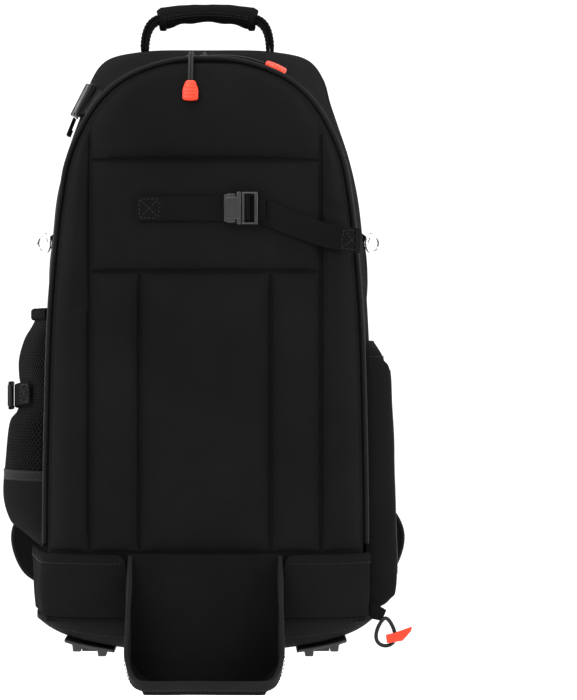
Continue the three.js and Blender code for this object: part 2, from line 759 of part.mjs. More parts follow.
// How far out the quilted front is at a place, for what lies on it.
function frontOut(x, h) {
  const columns = columnGroups(h);
  const inRaised = Math.abs(x) <= columns.right.at(-1);
  const pad = inRaised ? PANEL_PAD : STRIP_PAD;
  const [from, to] = inRaised
    ? [columns.left[0], columns.right.at(-1)]
    : [columns.stripRight[0], columns.stripRight.at(-1)];
  const u = (2 * ((inRaised ? x : Math.abs(x)) - from)) / (to - from) - 1;
  const crown = Math.max(1 - Math.abs(u) ** 4, 0);
  const [low, top] = [bands.high[0], bands.high.at(-1)];
  const rise = THREE.MathUtils.clamp((h - low) / (top - low), 0.5, 1);
  const v = 1 - 2 * (1 - rise) ** (1 / HIGH_EASE);
  const fade = inRaised && h > (low + top) / 2 ? 1 - Math.abs(v) ** 8 : 1;
  const at = Math.min(Math.abs(x), faceHalf(h) - GAP);
  return -seatY(at, h) + GAP + PAD_EDGE + pad * crown * fade;
}

// The lash strap lies across the middle panel, and its right end hangs lower.
const lashDrop = (x) => {
  const share = THREE.MathUtils.clamp((x - LASH_BEND_X) / (LASH_RIGHT_X - LASH_BEND_X), 0, 1);
  return LASH_H - LASH_EVEN * share - (LASH_DROOP - LASH_EVEN) * Math.sin((share * Math.PI) / 2);
};
function lashLine(from, to, count) {
  const side = FACE_W / 2 - PIPING_MARGIN;
  const near = [-WEB_W / 2, 0, WEB_W / 2];
  return steps(count, from, to).map((x) => {
    const h = lashDrop(x);
    const reach = near.flatMap((dx) => near.map(
      (dh) => frontOut(THREE.MathUtils.clamp(x + dx, -side, side), h + dh),
    ));
    return point(x, -(Math.max(...reach) + GAP + EASE + WEB_T / 2), h);
  });
}

function lashStrap() {
  const up = point(0, 0, 1);
  const plugEnd = BUCKLE_X + SOCKET_W + GAP + PLUG_W + EASE + GAP;
  add('lash_strap_left', strap(lashLine(LASH_LEFT_X, BUCKLE_X - GAP, 8), up, WEB_W, WEB_T), webbing);
  const lean = LASH_LEAN * (WEB_W / 2); // the slanting end's upper corner reaches back by this
  const right = lashLine(plugEnd + lean, LASH_RIGHT_X, 12);
  add('lash_strap_right', strap(right, up, WEB_W, WEB_T), webbing);
  const y = lashLine(BUCKLE_X, plugEnd, 2)[1].y - BUCKLE_T / 2 + WEB_T / 2;
  const flat = (rows) => rows.map(([x, z]) => new THREE.Vector2(x, z));
  const [half, cut] = [BUCKLE_H / 2, BUCKLE_CUT];
  const socket = new THREE.Shape(flat([
    [0, cut - half], [cut, -half], [SOCKET_W, -half], [SOCKET_W, half], [cut, half], [0, half - cut],
  ]));
  const plug = new THREE.Shape(flat([
    [0, cut / 3 - half], [PLUG_W - cut, -half], [PLUG_W, cut - half],
    [PLUG_W, half - cut], [PLUG_W - cut, half], [0, half - cut / 3],
  ]));
  const [slotIn, slotOut] = [PLUG_W - PLUG_BAR - PLUG_SLOT, PLUG_W - PLUG_BAR];
  plug.holes.push(new THREE.Path(flat([
    [slotIn, -WEB_W / 2], [slotIn, WEB_W / 2], [slotOut, WEB_W / 2], [slotOut, -WEB_W / 2],
  ])));
  for (const [name, shape, x, depth] of [
    ['lash_buckle_socket', socket, BUCKLE_X, BUCKLE_T],
    ['lash_buckle_plug', plug, BUCKLE_X + SOCKET_W + GAP, BUCKLE_T - PLUG_LESS],
  ]) {
    const geometry = new THREE.ExtrudeGeometry(shape, { depth, bevelEnabled: false });
    geometry.rotateX(Math.PI / 2);
    const mesh = add(name, geometry, plastic);
    mesh.position.set(x, y + depth / 2, LASH_H);
  }
}

// The open pouch: a rounded outline from the front, cut away from the lip up to the bag.
function pouch() {
  const yBack = seatY(0, BOOT_H) - CLOTH_GAP;
  const cup = (inset, over) => {
    const half = POUCH_W / 2 - inset;
    const low = POUCH_LOW_H + inset;
    const round = POUCH_ROUND - inset / 2;
    const outline = new THREE.Shape();
    outline.moveTo(-half, POUCH_TOP_H + over);
    outline.lineTo(-half, low + round);
    outline.quadraticCurveTo(-half, low, -half + round * POUCH_ROUND_X, low);
    outline.lineTo(half - round * POUCH_ROUND_X, low);
    outline.quadraticCurveTo(half, low, half, low + round);
    outline.lineTo(half, POUCH_TOP_H + over);
    const front = new THREE.ExtrudeGeometry(outline, {
      depth: POUCH_D, bevelEnabled: false, curveSegments: 6,
    });
    front.rotateX(Math.PI / 2);
    front.translate(0, yBack, 0);
    const [near, far] = [POUCH_D - inset, inset];
    const rim = POUCH_LIP_H + over;
    const below = low - EASE; // a little past the outline, for a clean cut
    const profile = new THREE.Shape();
    profile.moveTo(far, POUCH_TOP_H + over);
    profile.lineTo(far, below);
    profile.lineTo(near - POUCH_TOE, below);
    profile.quadraticCurveTo(near, below, near, below + POUCH_TOE);
    profile.lineTo(near, rim);
    profile.lineTo(near - LIP_D, rim + LIP_RISE);
    profile.lineTo(near - RIM_D, RIM_H + over);
    const sideways = new THREE.ExtrudeGeometry(profile, {
      depth: POUCH_W, bevelEnabled: false, curveSegments: 5,
    });
    sideways.applyMatrix4(
      new THREE.Matrix4().makeBasis(point(0, -1, 0), point(0, 0, 1), point(-1, 0, 0)),
    );
    sideways.translate(POUCH_W / 2, yBack, 0);
    return toSolid(front).intersect(toSolid(sideways));
  };
  const past = POUCH_TOP_H - POUCH_LOW_H; // the hollow is cut well past the rim
  add('pouch', fromSolid(cup(0, 0).subtract(cup(POUCH_T, past))), bodyCloth);
}

// A foot: a plate under the base with two rails.
function foot(name, side) {
  const [near, far] = [FOOT_X - FOOT_W / 2, FOOT_X + FOOT_W / 2];
  const top = steps(6, near, far).map((x) => [x, baseLow(x) - GAP]);
  const under = (x) => baseLow(x) - GAP - FOOT_T;
  const rails = [[FOOT_X + RAIL_PITCH / 2, OUTER_RAIL_H], [FOOT_X - RAIL_PITCH / 2, 0]];
  const low = rails.flatMap(([x, h]) => [
    [x + RAIL_W / 2, under(x + RAIL_W / 2)], [x + RAIL_W / 2 - RAIL_TAPER, h],
    [x - RAIL_W / 2 + RAIL_TAPER, h], [x - RAIL_W / 2, under(x - RAIL_W / 2)],
  ]);
  const outline = [...top, [far, under(far)], ...low, [near, under(near)]];
  const shape = new THREE.Shape(outline.map(([x, z]) => new THREE.Vector2(side * x, z)));
  const geometry = new THREE.ExtrudeGeometry(shape, { depth: FOOT_L, bevelEnabled: false });
  geometry.rotateX(Math.PI / 2);
  geometry.translate(0, -FOOT_BACK, 0);
  add(name, geometry, footPlastic);
}

function handle() {
  const rings = steps(10, -1, 1).map((u) => {
    const end = 1 - Math.abs(u) ** 16 * 0.3;
    const h = GRIP_H - GRIP_SAG * u * u;
    return steps(11, 0, (2 * Math.PI * 11) / 12).map((a) => point(
      (u * GRIP_L) / 2,
      HANDLE_Y + GRIP_R * GRIP_OVAL * end * Math.cos(a),
      h + GRIP_R * end * Math.sin(a),
    ));
  });
  add('handle_grip', loft(rings), webbing);
  for (const [name, side] of [['handle_leg_left', -1], ['handle_leg_right', 1]]) {
    const foot = rearCurve.getPoint(solveOutline(0, 'x', HANDLE_LEG_X)).z + 2 * GAP + EASE;
    const line = new THREE.QuadraticBezierCurve3(
      point(side * HANDLE_LEG_X, HANDLE_Y, foot),
      point(side * HANDLE_LEG_X, HANDLE_Y, GRIP_H - HANDLE_SHOULDER),
      point(side * (GRIP_L / 2 + GAP + 2), HANDLE_Y, GRIP_H - GRIP_SAG),
    ).getPoints(6);
    add(name, strap(line, point(0, 1, 0), HANDLE_W, HANDLE_T), webbing);
  }
}

// A shoulder strap with its tail of webbing, and the ring at its outer edge.
function harness(side, word) {
  const curve = new THREE.CatmullRomCurve3(STRAP_LINE.map(([half, rise, bow]) => point(
    (side * half * BODY_W) / 2,
    BACK_EDGE_T + bow * STRAP_BOW,
    rise * BODY_H,
  )));
  const line = curve.getPoints(21);
  const widths = steps(21).map((s) => {
    const at = s * (STRAP_LINE.length - 1);
    const low = Math.min(Math.floor(at), STRAP_LINE.length - 2);
    return STRAP_W * mix(STRAP_LINE[low][3], STRAP_LINE[low + 1][3], at - low);
  });
  const over = point(1, 0, STRAP_TWIST * side);
  add(`shoulder_strap_${word}`, strap(line, over, widths, STRAP_T), backCloth);
  const end = line.at(-1);
  const tail = new THREE.CatmullRomCurve3([
    end.clone().add(point(0, -GAP, -2)),
    end.clone().add(point(side, -TAIL_OFF, -TAIL_FALL)),
    point(side * (BODY_W / 2 - TAIL_IN), TAIL_OFF, WING_LOW_H + WING_H + TAIL_OVER_WING),
  ]).getPoints(8);
  add(`strap_tail_${word}`, strap(tail, point(1, 0, 0), TAIL_W, WEB_T), webbing);
}

function ring(side, word) {
  const middle = point(side * (BODY_W / 2 + RING_OUT), BACK_EDGE_T + STRAP_BOW * RING_OFF, RING_AT_H);
  const line = steps(15, 0, (2 * Math.PI * 15) / 16).map((a) => {
    const across = (RING_W / 2) * Math.cos(a);
    const up = (RING_H / 2) * Math.sin(a);
    return middle.clone()
      .add(point(across * Math.cos(RING_TURN) * side, across * Math.sin(RING_TURN), up));
  });
  const count = line.length;
  const rings = line.map((p, i) => {
    const way = line[(i + 1) % count].clone().sub(line[(i + count - 1) % count]).normalize();
    const out = p.clone().sub(middle).normalize();
    const up = way.clone().cross(out).normalize();
    const side2 = up.clone().cross(way).normalize();
    return steps(5, 0, (2 * Math.PI * 5) / 6).map((a) => p.clone()
      .addScaledVector(side2, RING_R * Math.cos(a)).addScaledVector(up, RING_R * Math.sin(a)));
  });
  add(`harness_ring_${word}`, loft(rings, true), ringMetal);
}

function wing(side, word) {
  const outline = [
    [WING_ROOT_X, 0],
    ...WING_END.map(([inward, rise]) => [WING_REACH - inward * WING_H, rise * WING_H]),
    [WING_ROOT_X, WING_H],
  ];
  const shape = new THREE.Shape(outline.map(([x, z]) => new THREE.Vector2(side * x, WING_LOW_H + z)));
  const geometry = new THREE.ExtrudeGeometry(shape, {
    depth: WING_T - 2 * WING_BEVEL_T,
    bevelThickness: WING_BEVEL_T,
    bevelSize: WING_BEVEL,
    bevelOffset: -WING_BEVEL,
    bevelSegments: 1,
    curveSegments: 1,
  });
  geometry.rotateX(Math.PI / 2);
  geometry.translate(0, WING_T - WING_BEVEL_T + 2 * GAP, 0);
  add(`waist_wing_${word}`, geometry, backCloth);
}

// The compression strap over the upper left wall, with its buckle and loose end.
function upperStrap() {
  const t = 1 - solveOutline(0, 'z', SIDE_BUCKLE_H);
  const place = (d, out, at = t) => {
    const share = roundIn(d);
    const p = outlineAt(at, share);
    const way = outlineAt(at + 0.01, share).sub(outlineAt(at - 0.01, share)).normalize();
    return [point(p.x - way.z * out, mix(wallBack, -GUSSET_D, d), p.z + way.x * out), way];
  };
  const seat = CLOTH_GAP + EASE + GAP + WEB_T / 2;
  const run = (name, from, to, count) => {
    const places = steps(count, from, to).map((d) => place(d, seat));
    add(name, strap(places.map(([p]) => p), places.map(([, dir]) => dir), TAIL_W, WEB_T), webbing);
  };
  const [, way] = place(0.5, 0);
  const [bucklesFrom, bucklesTo] = [0.5, 0.74];
  run('upper_strap_back', 0.06, bucklesFrom - 0.01, 6);
  run('upper_strap_front', bucklesTo + 0.01, 0.97, 4);
  const line = steps(4, bucklesFrom, bucklesTo).map((d) => place(d, CLOTH_GAP + BUCKLE_T / 2)[0]);
  const widths = [0.8, 1, 1, 1, 0.8].map((share) => share * SIDE_BUCKLE_W);
  add('upper_buckle', strap(line, way, widths, BUCKLE_T), plastic);
  const [hang] = place(0.66, CLOTH_GAP + BUCKLE_T / 2);
  const below = SIDE_BUCKLE_W / 2 + GAP;
  const tail = steps(4, below, below + UPPER_TAIL_L).map((s) => hang.clone()
    .addScaledVector(way, -s).add(point(UPPER_TAIL_LEAN * (s - below), 0, 0)));
  add('upper_strap_tail', strap(tail, point(0, 1, 0), UPPER_TAIL_W, WEB_T), webbing);
}

// The height of the top wall at a place.
function topH(x, y) {
  return outlineAt(solveOutline(faceShare(y), 'x', Math.abs(x)), faceShare(y)).z;
}

// The two zip pulls: a slider, a doubled cord and a moulded grip each. One hangs over the
// piping onto the front, the other lies along the zip.
function zipPulls() {
  const lift = SLIDER_T + GAP + EASE;
  const rightX = HANG_PULL_X + SLIDER_W + SLIDER_GAP;
  for (const [word, x] of [['left', HANG_PULL_X], ['right', rightX]]) {
    const slider = new THREE.BoxGeometry(SLIDER_W, SLIDER_L, SLIDER_T);
    slider.translate(x, -ZIP_D, topH(x, SLIDER_L / 2 - ZIP_D) + SLIDER_T / 2 + EASE);
    add(`zip_slider_${word}`, slider, plastic);
  }
  const top = FACE_H + 2 * PIPING_R + 3 * GAP + PULL_CORD_R + EASE;
  const onFront = (h) => point(HANG_PULL_X, -(frontOut(HANG_PULL_X, h) + PULL_CORD_R + GAP + EASE), h);
  const start = topH(HANG_PULL_X, -ZIP_D) + lift;
  const hanging = [
    point(HANG_PULL_X, -(ZIP_D + SLIDER_L / 2 + GAP), start),
    point(HANG_PULL_X, -(GUSSET_D - 0.5), top),
    point(HANG_PULL_X, -(GUSSET_D + COVER_T + PIPING_R + 1.5), top - 2.5),
    onFront(FACE_H - 7),
    onFront(FACE_H - 12),
    onFront(FACE_H - PULL_HANG),
  ];
  add('pull_cord_left', tube(hanging, PULL_CORD_R, 8, 16), cordCloth);
  const gripWidths = [0.68, 0.86, 1, 1].map((share) => share * PULL_GRIP_W);
  const gripTop = FACE_H - PULL_HANG - GAP;
  const gripLine = steps(3, gripTop, gripTop - PULL_GRIP_L)
    .map((h) => point(HANG_PULL_X, -(frontOut(HANG_PULL_X, h) + PULL_GRIP_T / 2 + GAP + EASE), h));
  add('pull_grip_left', strap(gripLine, point(1, 0, 0), gripWidths, PULL_GRIP_T), orangeRubber);
  const onTop = (x, y, up) => point(x, y, topH(x, y) + up);
  const lyingFrom = rightX + SLIDER_W / 2 + 2 * GAP;
  const lying = steps(5, lyingFrom, LYING_PULL_X).map((x, i) => onTop(
    x,
    -ZIP_D + PULL_SWAY * Math.sin((i / 5) * Math.PI),
    PULL_CORD_R + GAP + EASE,
  ));
  add('pull_cord_right', tube(lying, PULL_CORD_R, 8, 22), cordCloth);
  const gripStart = LYING_PULL_X + GAP + EASE;
  const lyingGrip = steps(3, gripStart, gripStart + PULL_GRIP_L)
    .map((x) => onTop(x, -ZIP_D, PULL_GRIP_T / 2 + GRIP_EASE));
  const behind = SLIDER_T - ZIP_D;
  const rise = topH(LYING_PULL_X, behind) - topH(LYING_PULL_X, -ZIP_D);
  const slope = point(0, SLIDER_T, rise).normalize();
  add('pull_grip_right', strap(lyingGrip, slope, gripWidths, PULL_GRIP_T), orangeRubber);
}

// At the foot of the zipped pocket: its end tab, and the loop and tag of its pull.
function pocketPull() {
  const plate = (name, outline, y, thickness, material) => {
    const shape = new THREE.Shape(outline.map(([x, z]) => new THREE.Vector2(x, z)));
    const geometry = new THREE.ExtrudeGeometry(shape, { depth: thickness, bevelEnabled: false });
    geometry.rotateX(Math.PI / 2);
    geometry.translate(BOX_OUT_X, y, BOX_LOW_H);
    add(name, geometry, material);
  };
  const y = -(BOX_FRONT + BOX_T + CLOTH_GAP);
  plate('pocket_tab', TAB_OUTLINE, y, TAB_T, webbing);
  const middle = point(BOX_OUT_X - LOOP_IN, y - LOOP_OUT, BOX_LOW_H - LOOP_FALL);
  const rings = steps(13, 0, (2 * Math.PI * 13) / 14).map((a) => {
    const across = (LOOP_W / 2) * Math.cos(a) * (1 - 0.35 * Math.sin(a));
    const out = point(Math.cos(a), 0, Math.sin(a));
    const p = middle.clone().add(point(across, 0, (LOOP_H / 2) * Math.sin(a)));
    return steps(5, 0, (2 * Math.PI * 5) / 6).map((b) => p.clone()
      .addScaledVector(out, LOOP_R * Math.cos(b)).add(point(0, LOOP_R * Math.sin(b), 0)));
  });
  add('pocket_pull_loop', loft(rings, true), cordCloth);
  plate('pocket_pull_tag', TAG_OUTLINE, middle.y - LOOP_R - GAP, TAG_T, orangeRubber);
}

backPanel();
const cornerRow = OUTLINE_ROWS / 2; // the side walls end halfway up the outline's rows
const otherRow = 2 * OUTLINE_ROWS - cornerRow;
gusset('side_wall_left', 0, cornerRow, 12);
gusset('top_wall', cornerRow, otherRow, 26);
gusset('side_wall_right', otherRow, 2 * OUTLINE_ROWS, 12);
base();
frontCover();
frontPanels();
piping();
boot('boot_left', -1, BOOT_LEFT_BACK);
boot('boot_right', 1, BOOT_RIGHT_BACK);
meshPocket();
sideStrap();
zipPocket();
lashStrap();
pouch();
foot('foot_left', -1);
foot('foot_right', 1);
handle();
for (const [side, word] of [[-1, 'left'], [1, 'right']]) {
  harness(side, word);
  ring(side, word);
  wing(side, word);
}
upperStrap();
zipPulls();
pocketPull();
pack.position.z = -SIT_H;

const group = new THREE.Group();
group.add(pack);
export default group;
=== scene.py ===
import itertools
import math

import bpy
import numpy as np
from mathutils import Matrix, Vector


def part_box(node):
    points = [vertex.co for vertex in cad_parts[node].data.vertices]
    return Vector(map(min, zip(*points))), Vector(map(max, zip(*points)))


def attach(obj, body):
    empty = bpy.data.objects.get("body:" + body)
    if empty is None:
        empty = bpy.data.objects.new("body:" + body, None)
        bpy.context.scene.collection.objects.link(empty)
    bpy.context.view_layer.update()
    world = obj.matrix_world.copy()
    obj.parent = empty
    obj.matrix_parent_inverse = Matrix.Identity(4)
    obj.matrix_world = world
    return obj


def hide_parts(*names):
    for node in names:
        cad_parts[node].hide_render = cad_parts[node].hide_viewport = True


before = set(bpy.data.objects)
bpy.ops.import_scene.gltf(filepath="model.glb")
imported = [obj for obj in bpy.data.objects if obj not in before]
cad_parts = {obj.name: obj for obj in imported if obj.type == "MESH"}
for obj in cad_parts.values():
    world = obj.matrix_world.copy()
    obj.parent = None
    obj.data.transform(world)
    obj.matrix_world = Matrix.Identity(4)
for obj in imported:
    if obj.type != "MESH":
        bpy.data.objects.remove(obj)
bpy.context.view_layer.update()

# Sizes in millimetres; heights are from the plane under the feet, as in the solids
MM = 0.001
SIT_H = 260.0
GAP = 0.3
CLOTH_GAP = 1.2
BODY_H = 519.0
BODY_W = 294.0
FACE_H = 496.0
FACE_W = 262.0
BASE_H = 34.0
BACK_T = 14.0
BACK_EDGE_T = 6.0
GUSSET_D = 148.0
WALL = 7.0
COVER_T = 4.0
FACE_RISE = 22.0
FACE_ROLL = 20.0
FACE_TUCK = 0.3
FACE_TUCK_H = 26.0
BASE_T = 10.0
BASE_EDGE_T = 4.0
BASE_DROP = 26.0
PANEL_PAD = 8.0
STRIP_PAD = 9.0
PAD_EDGE = 1.4
GROOVE_X = 94.0
GROOVE_W = 3.0
CENTRE_X = 54.0
SEAM_LOW_H = 321.0
SEAM_HIGH_H = 413.0
BOOT_H = 91.0
PIPING_R = 2.2
BOOT_T = 5.0
BOOT_INNER_X = 65.0
BOOT_CORNER = 9.0
BOOT_LEFT_BACK = 44.0
BOOT_RIGHT_BACK = 146.0
MESH_T = 2.0
MESH_PROUD = 30.0
MESH_TOP_H = 283.0
MESH_FRONT = 136.0
MESH_BACK = 36.0
HEM_R = 3.0
SIDE_STRAP_H = 221.0
SIDE_STRAP_FALL = 8.0
SIDE_STRAP_W = 19.0
BOX_T = 2.5
BOX_OUT_X = 163.0
BOX_LEAN = 7.0
BOX_TOP_H = 264.0
BOX_LOW_H = 37.0
BOX_FRONT = 141.0
BOX_BACK = 48.0
WEB_W = 20.0
WEB_T = 1.6
LASH_H = 372.0
LASH_LEFT_X = -56.0
LASH_RIGHT_X = 127.0
LASH_DROOP = 26.0
STRAP_W = 62.0
STRAP_T = 11.0
STRAP_BOW = 46.0
ZIP_D = 138.0
EASE = 0.7
BASE_INSET = 2.0
BASE_BACK = 1.0
CROWN_TRIM = 2.0
HIGH_EASE = 1.5
BOOT_CREEP = 1.4
BOOT_STEP = 26.0
MESH_FOOT_H = 92.0
HEM_OUT = 1.6
TAB_T = 2.5
TAG_T = 3.0
LOOP_W = 15.0
LOOP_H = 23.0
LOOP_R = 1.6
LOOP_OUT = 4.4
LOOP_IN = 13.0
LOOP_FALL = 16.0
BUCKLE_T = 9.0
BUCKLE_H = 27.0
BUCKLE_X = 15.5
SOCKET_W = 14.0
PLUG_W = 13.5
PLUG_LESS = 2.0
PLUG_BAR = 3.0
PLUG_SLOT = 3.5
LASH_BEND_X = 43.0
LASH_EVEN = 6.0
LASH_LEAN = 0.4
PIPING_MARGIN = 5.0
POUCH_W = 128.0
POUCH_D = 72.0
POUCH_LOW_H = -21.0
POUCH_TOP_H = 88.0
POUCH_LIP_H = -9.5
POUCH_T = 2.0
POUCH_ROUND = 32.0
POUCH_ROUND_X = 1.1
LIP_D = 16.0
LIP_RISE = 4.0
RIM_D = 40.0
RIM_H = 30.0
FOOT_X = 97.0
FOOT_W = 42.0
FOOT_T = 3.0
FOOT_BACK = 45.0
FOOT_L = 100.0
RAIL_W = 8.0
RAIL_PITCH = 21.0
RAIL_TAPER = 0.6
OUTER_RAIL_H = 4.0
GRIP_L = 86.0
GRIP_R = 11.0
GRIP_H = 550.0
GRIP_OVAL = 1.1
GRIP_SAG = 3.5
GRIP_ARCH = 5.5  # the sleeve is more arched than the core
GRIP_RISE = 2.0
GRIP_THIN = 0.22  # and thinner in the middle
HANDLE_Y = -26.0
HANDLE_LEG_X = 55.0
HANDLE_W = 22.0
HANDLE_SHOULDER = 6.0
STRAP_TWIST = 0.25
TAIL_W = 25.0
TAIL_FALL = 45.0
TAIL_IN = 22.0
TAIL_OFF = 4.0
TAIL_OVER_WING = 12.0
WING_REACH = 174.0
WING_ROOT_X = 62.0
WING_T = 12.0
WING_H = 82.0
WING_LOW_H = 46.0
RING_R = 1.7
RING_W = 20.0
RING_H = 16.0
RING_AT_H = 352.0
RING_TURN = 0.9
RING_OUT = 1.0
RING_OFF = 0.55
SIDE_BUCKLE_H = 470.0
SIDE_BUCKLE_W = 34.0
UPPER_TAIL_W = 20.0
UPPER_TAIL_L = 17.0
UPPER_TAIL_LEAN = 0.12
SLIDER_W = 8.0
SLIDER_L = 9.0
SLIDER_T = 4.0
SLIDER_GAP = 3.0
HANG_PULL_X = -12.0
LYING_PULL_X = 49.0
PULL_CORD_R = 2.1
PULL_GRIP_L = 17.0
PULL_GRIP_W = 13.0
PULL_GRIP_T = 5.0
PULL_HANG = 18.0
PULL_SWAY = 2.5
GRIP_EASE = 1.6
SEWN_IN = 2.2
BOX_SEAM_IN = 17.0
BOOT_SEAM_ROW = 23
DENT_DEPTH = 1.6
MESH_BULGE = 0.62
FACE_POWER = 1.8
OUTLINE_SPANS = 24
OUTLINE_L = 1250.0
SENSOR_W = 36.0
BOOT_HEM = 0.7
BOOT_ROUND = 1.6
BOOT_SWELL = 1.1
BOOT_CREASE = 0.7
BASE_FOLD = 0.9
BASE_TAPER = 0.09
POUCH_CORNER = 16.0
POUCH_SLACK = 1.4
POUCH_BELLY = 1.8
POUCH_PULL_IN = 2.2
POUCH_BINDING_W = 8.4
MESH_SEAM_H = 150.0
NET_STRAND = 1.35
MESH_LOOSE = 1.3
SLIDER_BAR = 3.4
BOX_LID_SUNK = 0.9
BOX_ZIP_SUNK = 1.0
HANDLE_WEB_T = 3.2
HANDLE_WEB_OUT = 1.75
BACK_SEAMS = (118, 214, 312, 404)
BACK_CHANNEL = 4.2
BACK_SEAM_D = 3.4
BACK_RIM_D = 2.6
WING_CHANNEL = 1.6
PUCKER = 0.14
ZIP_SUNK = 1.3
WALL_FULL = 0.9
AXES = np.eye(3)

# Outline rows: rear half, rear rise, face half, face rise, as shares
OUTLINE = np.array([
    [0.986, 0.0, 0.992, 0.0],
    [1.0, 0.12, 1.0, 0.121],
    [0.98, 0.322, 0.992, 0.327],
    [0.946, 0.548, 0.969, 0.543],
    [0.925, 0.641, 0.939, 0.652],
    [0.891, 0.734, 0.901, 0.749],
    [0.837, 0.806, 0.855, 0.82],
    [0.776, 0.862, 0.763, 0.883],
    [0.728, 0.905, 0.656, 0.929],
    [0.687, 0.948, 0.519, 0.963],
    [0.605, 0.981, 0.351, 0.985],
    [0.4, 0.997, 0.183, 0.997],
    [0.0, 1.0, 0.0, 1.0],
])
# Share of the base's half width, share of its drop
BASE_SECTION = np.array([
    [0.0, 1.0], [0.4, 0.98], [0.57, 0.87], [0.74, 0.69], [0.84, 0.52], [0.92, 0.33], [1.0, 0.0],
])

# Pocket walls: share of the height, share of how far the pocket stands out
MESH_SECTION = np.array([
    [0, 0.06], [0.05, 0.45], [0.1, 0.78], [0.2, 0.94], [0.3, 0.97], [0.45, 0.93], [0.54, 0.84],
    [0.58, 0.66], [0.61, 0.6], [0.7, 0.59], [0.735, 0.64], [0.81, 0.68], [0.9, 0.57], [0.96, 0.38], [1, 0.26],
])
BOX_SECTION = np.array([
    [0, 0.1], [0.04, 0.7], [0.1, 0.96], [0.5, 1], [0.86, 0.97], [0.93, 0.72], [1, 0.12],
])
# A shoulder strap's line: share of the half width, of the height, of the bow, of the strap's width
STRAP_LINE = np.array([
    [0.22, 0.935, 0, 0.8], [0.27, 0.89, 0.4, 0.9], [0.46, 0.8, 0.96, 1], [0.66, 0.72, 1, 1.02],
    [0.75, 0.67, 0.94, 1.02], [0.78, 0.6, 0.8, 0.96], [0.78, 0.52, 0.52, 0.8], [0.79, 0.455, 0.32, 0.56],
])
# A waist wing's end: distance from the tip and height, as shares of the wing's height
WING_END = [(0.366, 0.0), (0.122, 0.171), (0.0, 0.5), (0.049, 0.72), (0.244, 0.94), (0.488, 1.0)]
# The pocket's end tab and its pull's tag: distance from the pocket's side, height above its foot
TAB_OUTLINE = [(-26, 10), (-12, 2), (-16, -7), (-26, -5)]
TAG_OUTLINE = [(-13, -18), (-5, -16), (9, -11), (8, -15), (1, -23), (-12, -25)]


def smoothstep(x, low=0.0, high=1.0):
    """0 below low, 1 above high, and smooth between them."""
    s = np.clip((np.asarray(x, float) - low) / (high - low), 0, 1)
    return s * s * (3 - 2 * s)


def waves(a, b, size, seed, count=7):
    """A smooth random field of about -1 to 1, with bumps of about that size."""
    draw = np.random.default_rng(seed)
    total = np.zeros(np.broadcast(a, b).shape)
    for _ in range(count):
        turn = draw.uniform(0, 2 * math.pi)
        length = size * draw.uniform(0.7, 1.8)
        phase = draw.uniform(0, 2 * math.pi)
        total = total + np.sin(2 * math.pi * (a * math.cos(turn) + b * math.sin(turn)) / length + phase)
    return total / (count * 0.6)


# The outlines of the body
def through(points, fine=40):
    """A centripetal curve through points, with evenly many samples between each two."""
    points = np.asarray(points, float)
    ends = np.vstack([2 * points[0] - points[1], points, 2 * points[-1] - points[-2]])
    out = []
    for i in range(1, len(ends) - 2):
        p0, p1, p2, p3 = ends[i - 1:i + 3]
        d0, d1, d2 = (max(np.linalg.norm(b - a), 1e-9) ** 0.5 for a, b in ((p0, p1), (p1, p2), (p2, p3)))
        m1 = ((p1 - p0) / d0 - (p2 - p0) / (d0 + d1) + (p2 - p1) / d1) * d1
        m2 = ((p2 - p1) / d1 - (p3 - p1) / (d1 + d2) + (p3 - p2) / d2) * d1
        s = np.linspace(0, 1, fine, endpoint=False)[:, None]
        out.append(p1 + m1 * s + (3 * (p2 - p1) - 2 * m1 - m2) * s**2 + (2 * (p1 - p2) + m1 + m2) * s**3)
    return np.vstack(out + [points[-1:]])


def outline_curve(width, height, half_column, rise_column):
    half = OUTLINE[:, half_column] * width / 2
    rise = BASE_H + OUTLINE[:, rise_column] * (height - BASE_H)
    left = np.stack([-half, rise], axis=1)
    right = np.stack([half[:-1], rise[:-1]], axis=1)[::-1]
    return through(np.vstack([left, right]))


REAR = outline_curve(BODY_W, BODY_H, 0, 1)
FACE = outline_curve(FACE_W, FACE_H, 2, 3)
OUTLINE_T = np.linspace(0, 1, len(REAR))


def outline_at(t, to_face):
    """x and h of the outline at a parameter, between the rear (0) and the face (1)."""
    rear = [np.interp(t, OUTLINE_T, REAR[:, k]) for k in (0, 1)]
    face = [np.interp(t, OUTLINE_T, FACE[:, k]) for k in (0, 1)]
    return [a + (b - a) * to_face for a, b in zip(rear, face)]


WALL_BACK = -(BACK_T + GAP)


def face_share(y):
    return np.clip((WALL_BACK - y) / (WALL_BACK + GUSSET_D), 0, 1) ** FACE_POWER


def solve_outline(to_face, axis, value):
    """The parameter on the right half where x (0) or h (1) has a value."""
    to_face, value = np.broadcast_arrays(np.asarray(to_face, float), np.asarray(value, float))
    low, high = np.full(value.shape, 0.5), np.ones(value.shape)
    for _ in range(30):
        middle = (low + high) / 2
        go = (outline_at(middle, to_face)[axis] > value) == (axis == 1)
        low, high = np.where(go, middle, low), np.where(go, high, middle)
    return (low + high) / 2


def side_x(h, y):
    """The outer half width of the side wall at a height and a distance y."""
    share = face_share(np.asarray(y, float))
    return outline_at(solve_outline(share, 1, h), share)[0]


def top_h(x, y):
    share = face_share(np.asarray(y, float))
    return outline_at(solve_outline(share, 0, np.abs(x)), share)[1]


RIGHT_FACE = FACE[len(FACE) // 2:]


def face_half(h):
    """Half the width inside the piping at a height."""
    top_down = RIGHT_FACE[::-1]
    top_down = top_down[np.concatenate([[True], np.diff(top_down[:, 1]) > 0])]
    return np.interp(h, top_down[:, 1], top_down[:, 0])


def crown_at(x):
    """The height of the piping's arch over a place across the bag."""
    rising = RIGHT_FACE[:int(np.argmax(RIGHT_FACE[:, 0])) + 1]
    return np.interp(np.abs(x), rising[:, 0], rising[:, 1])


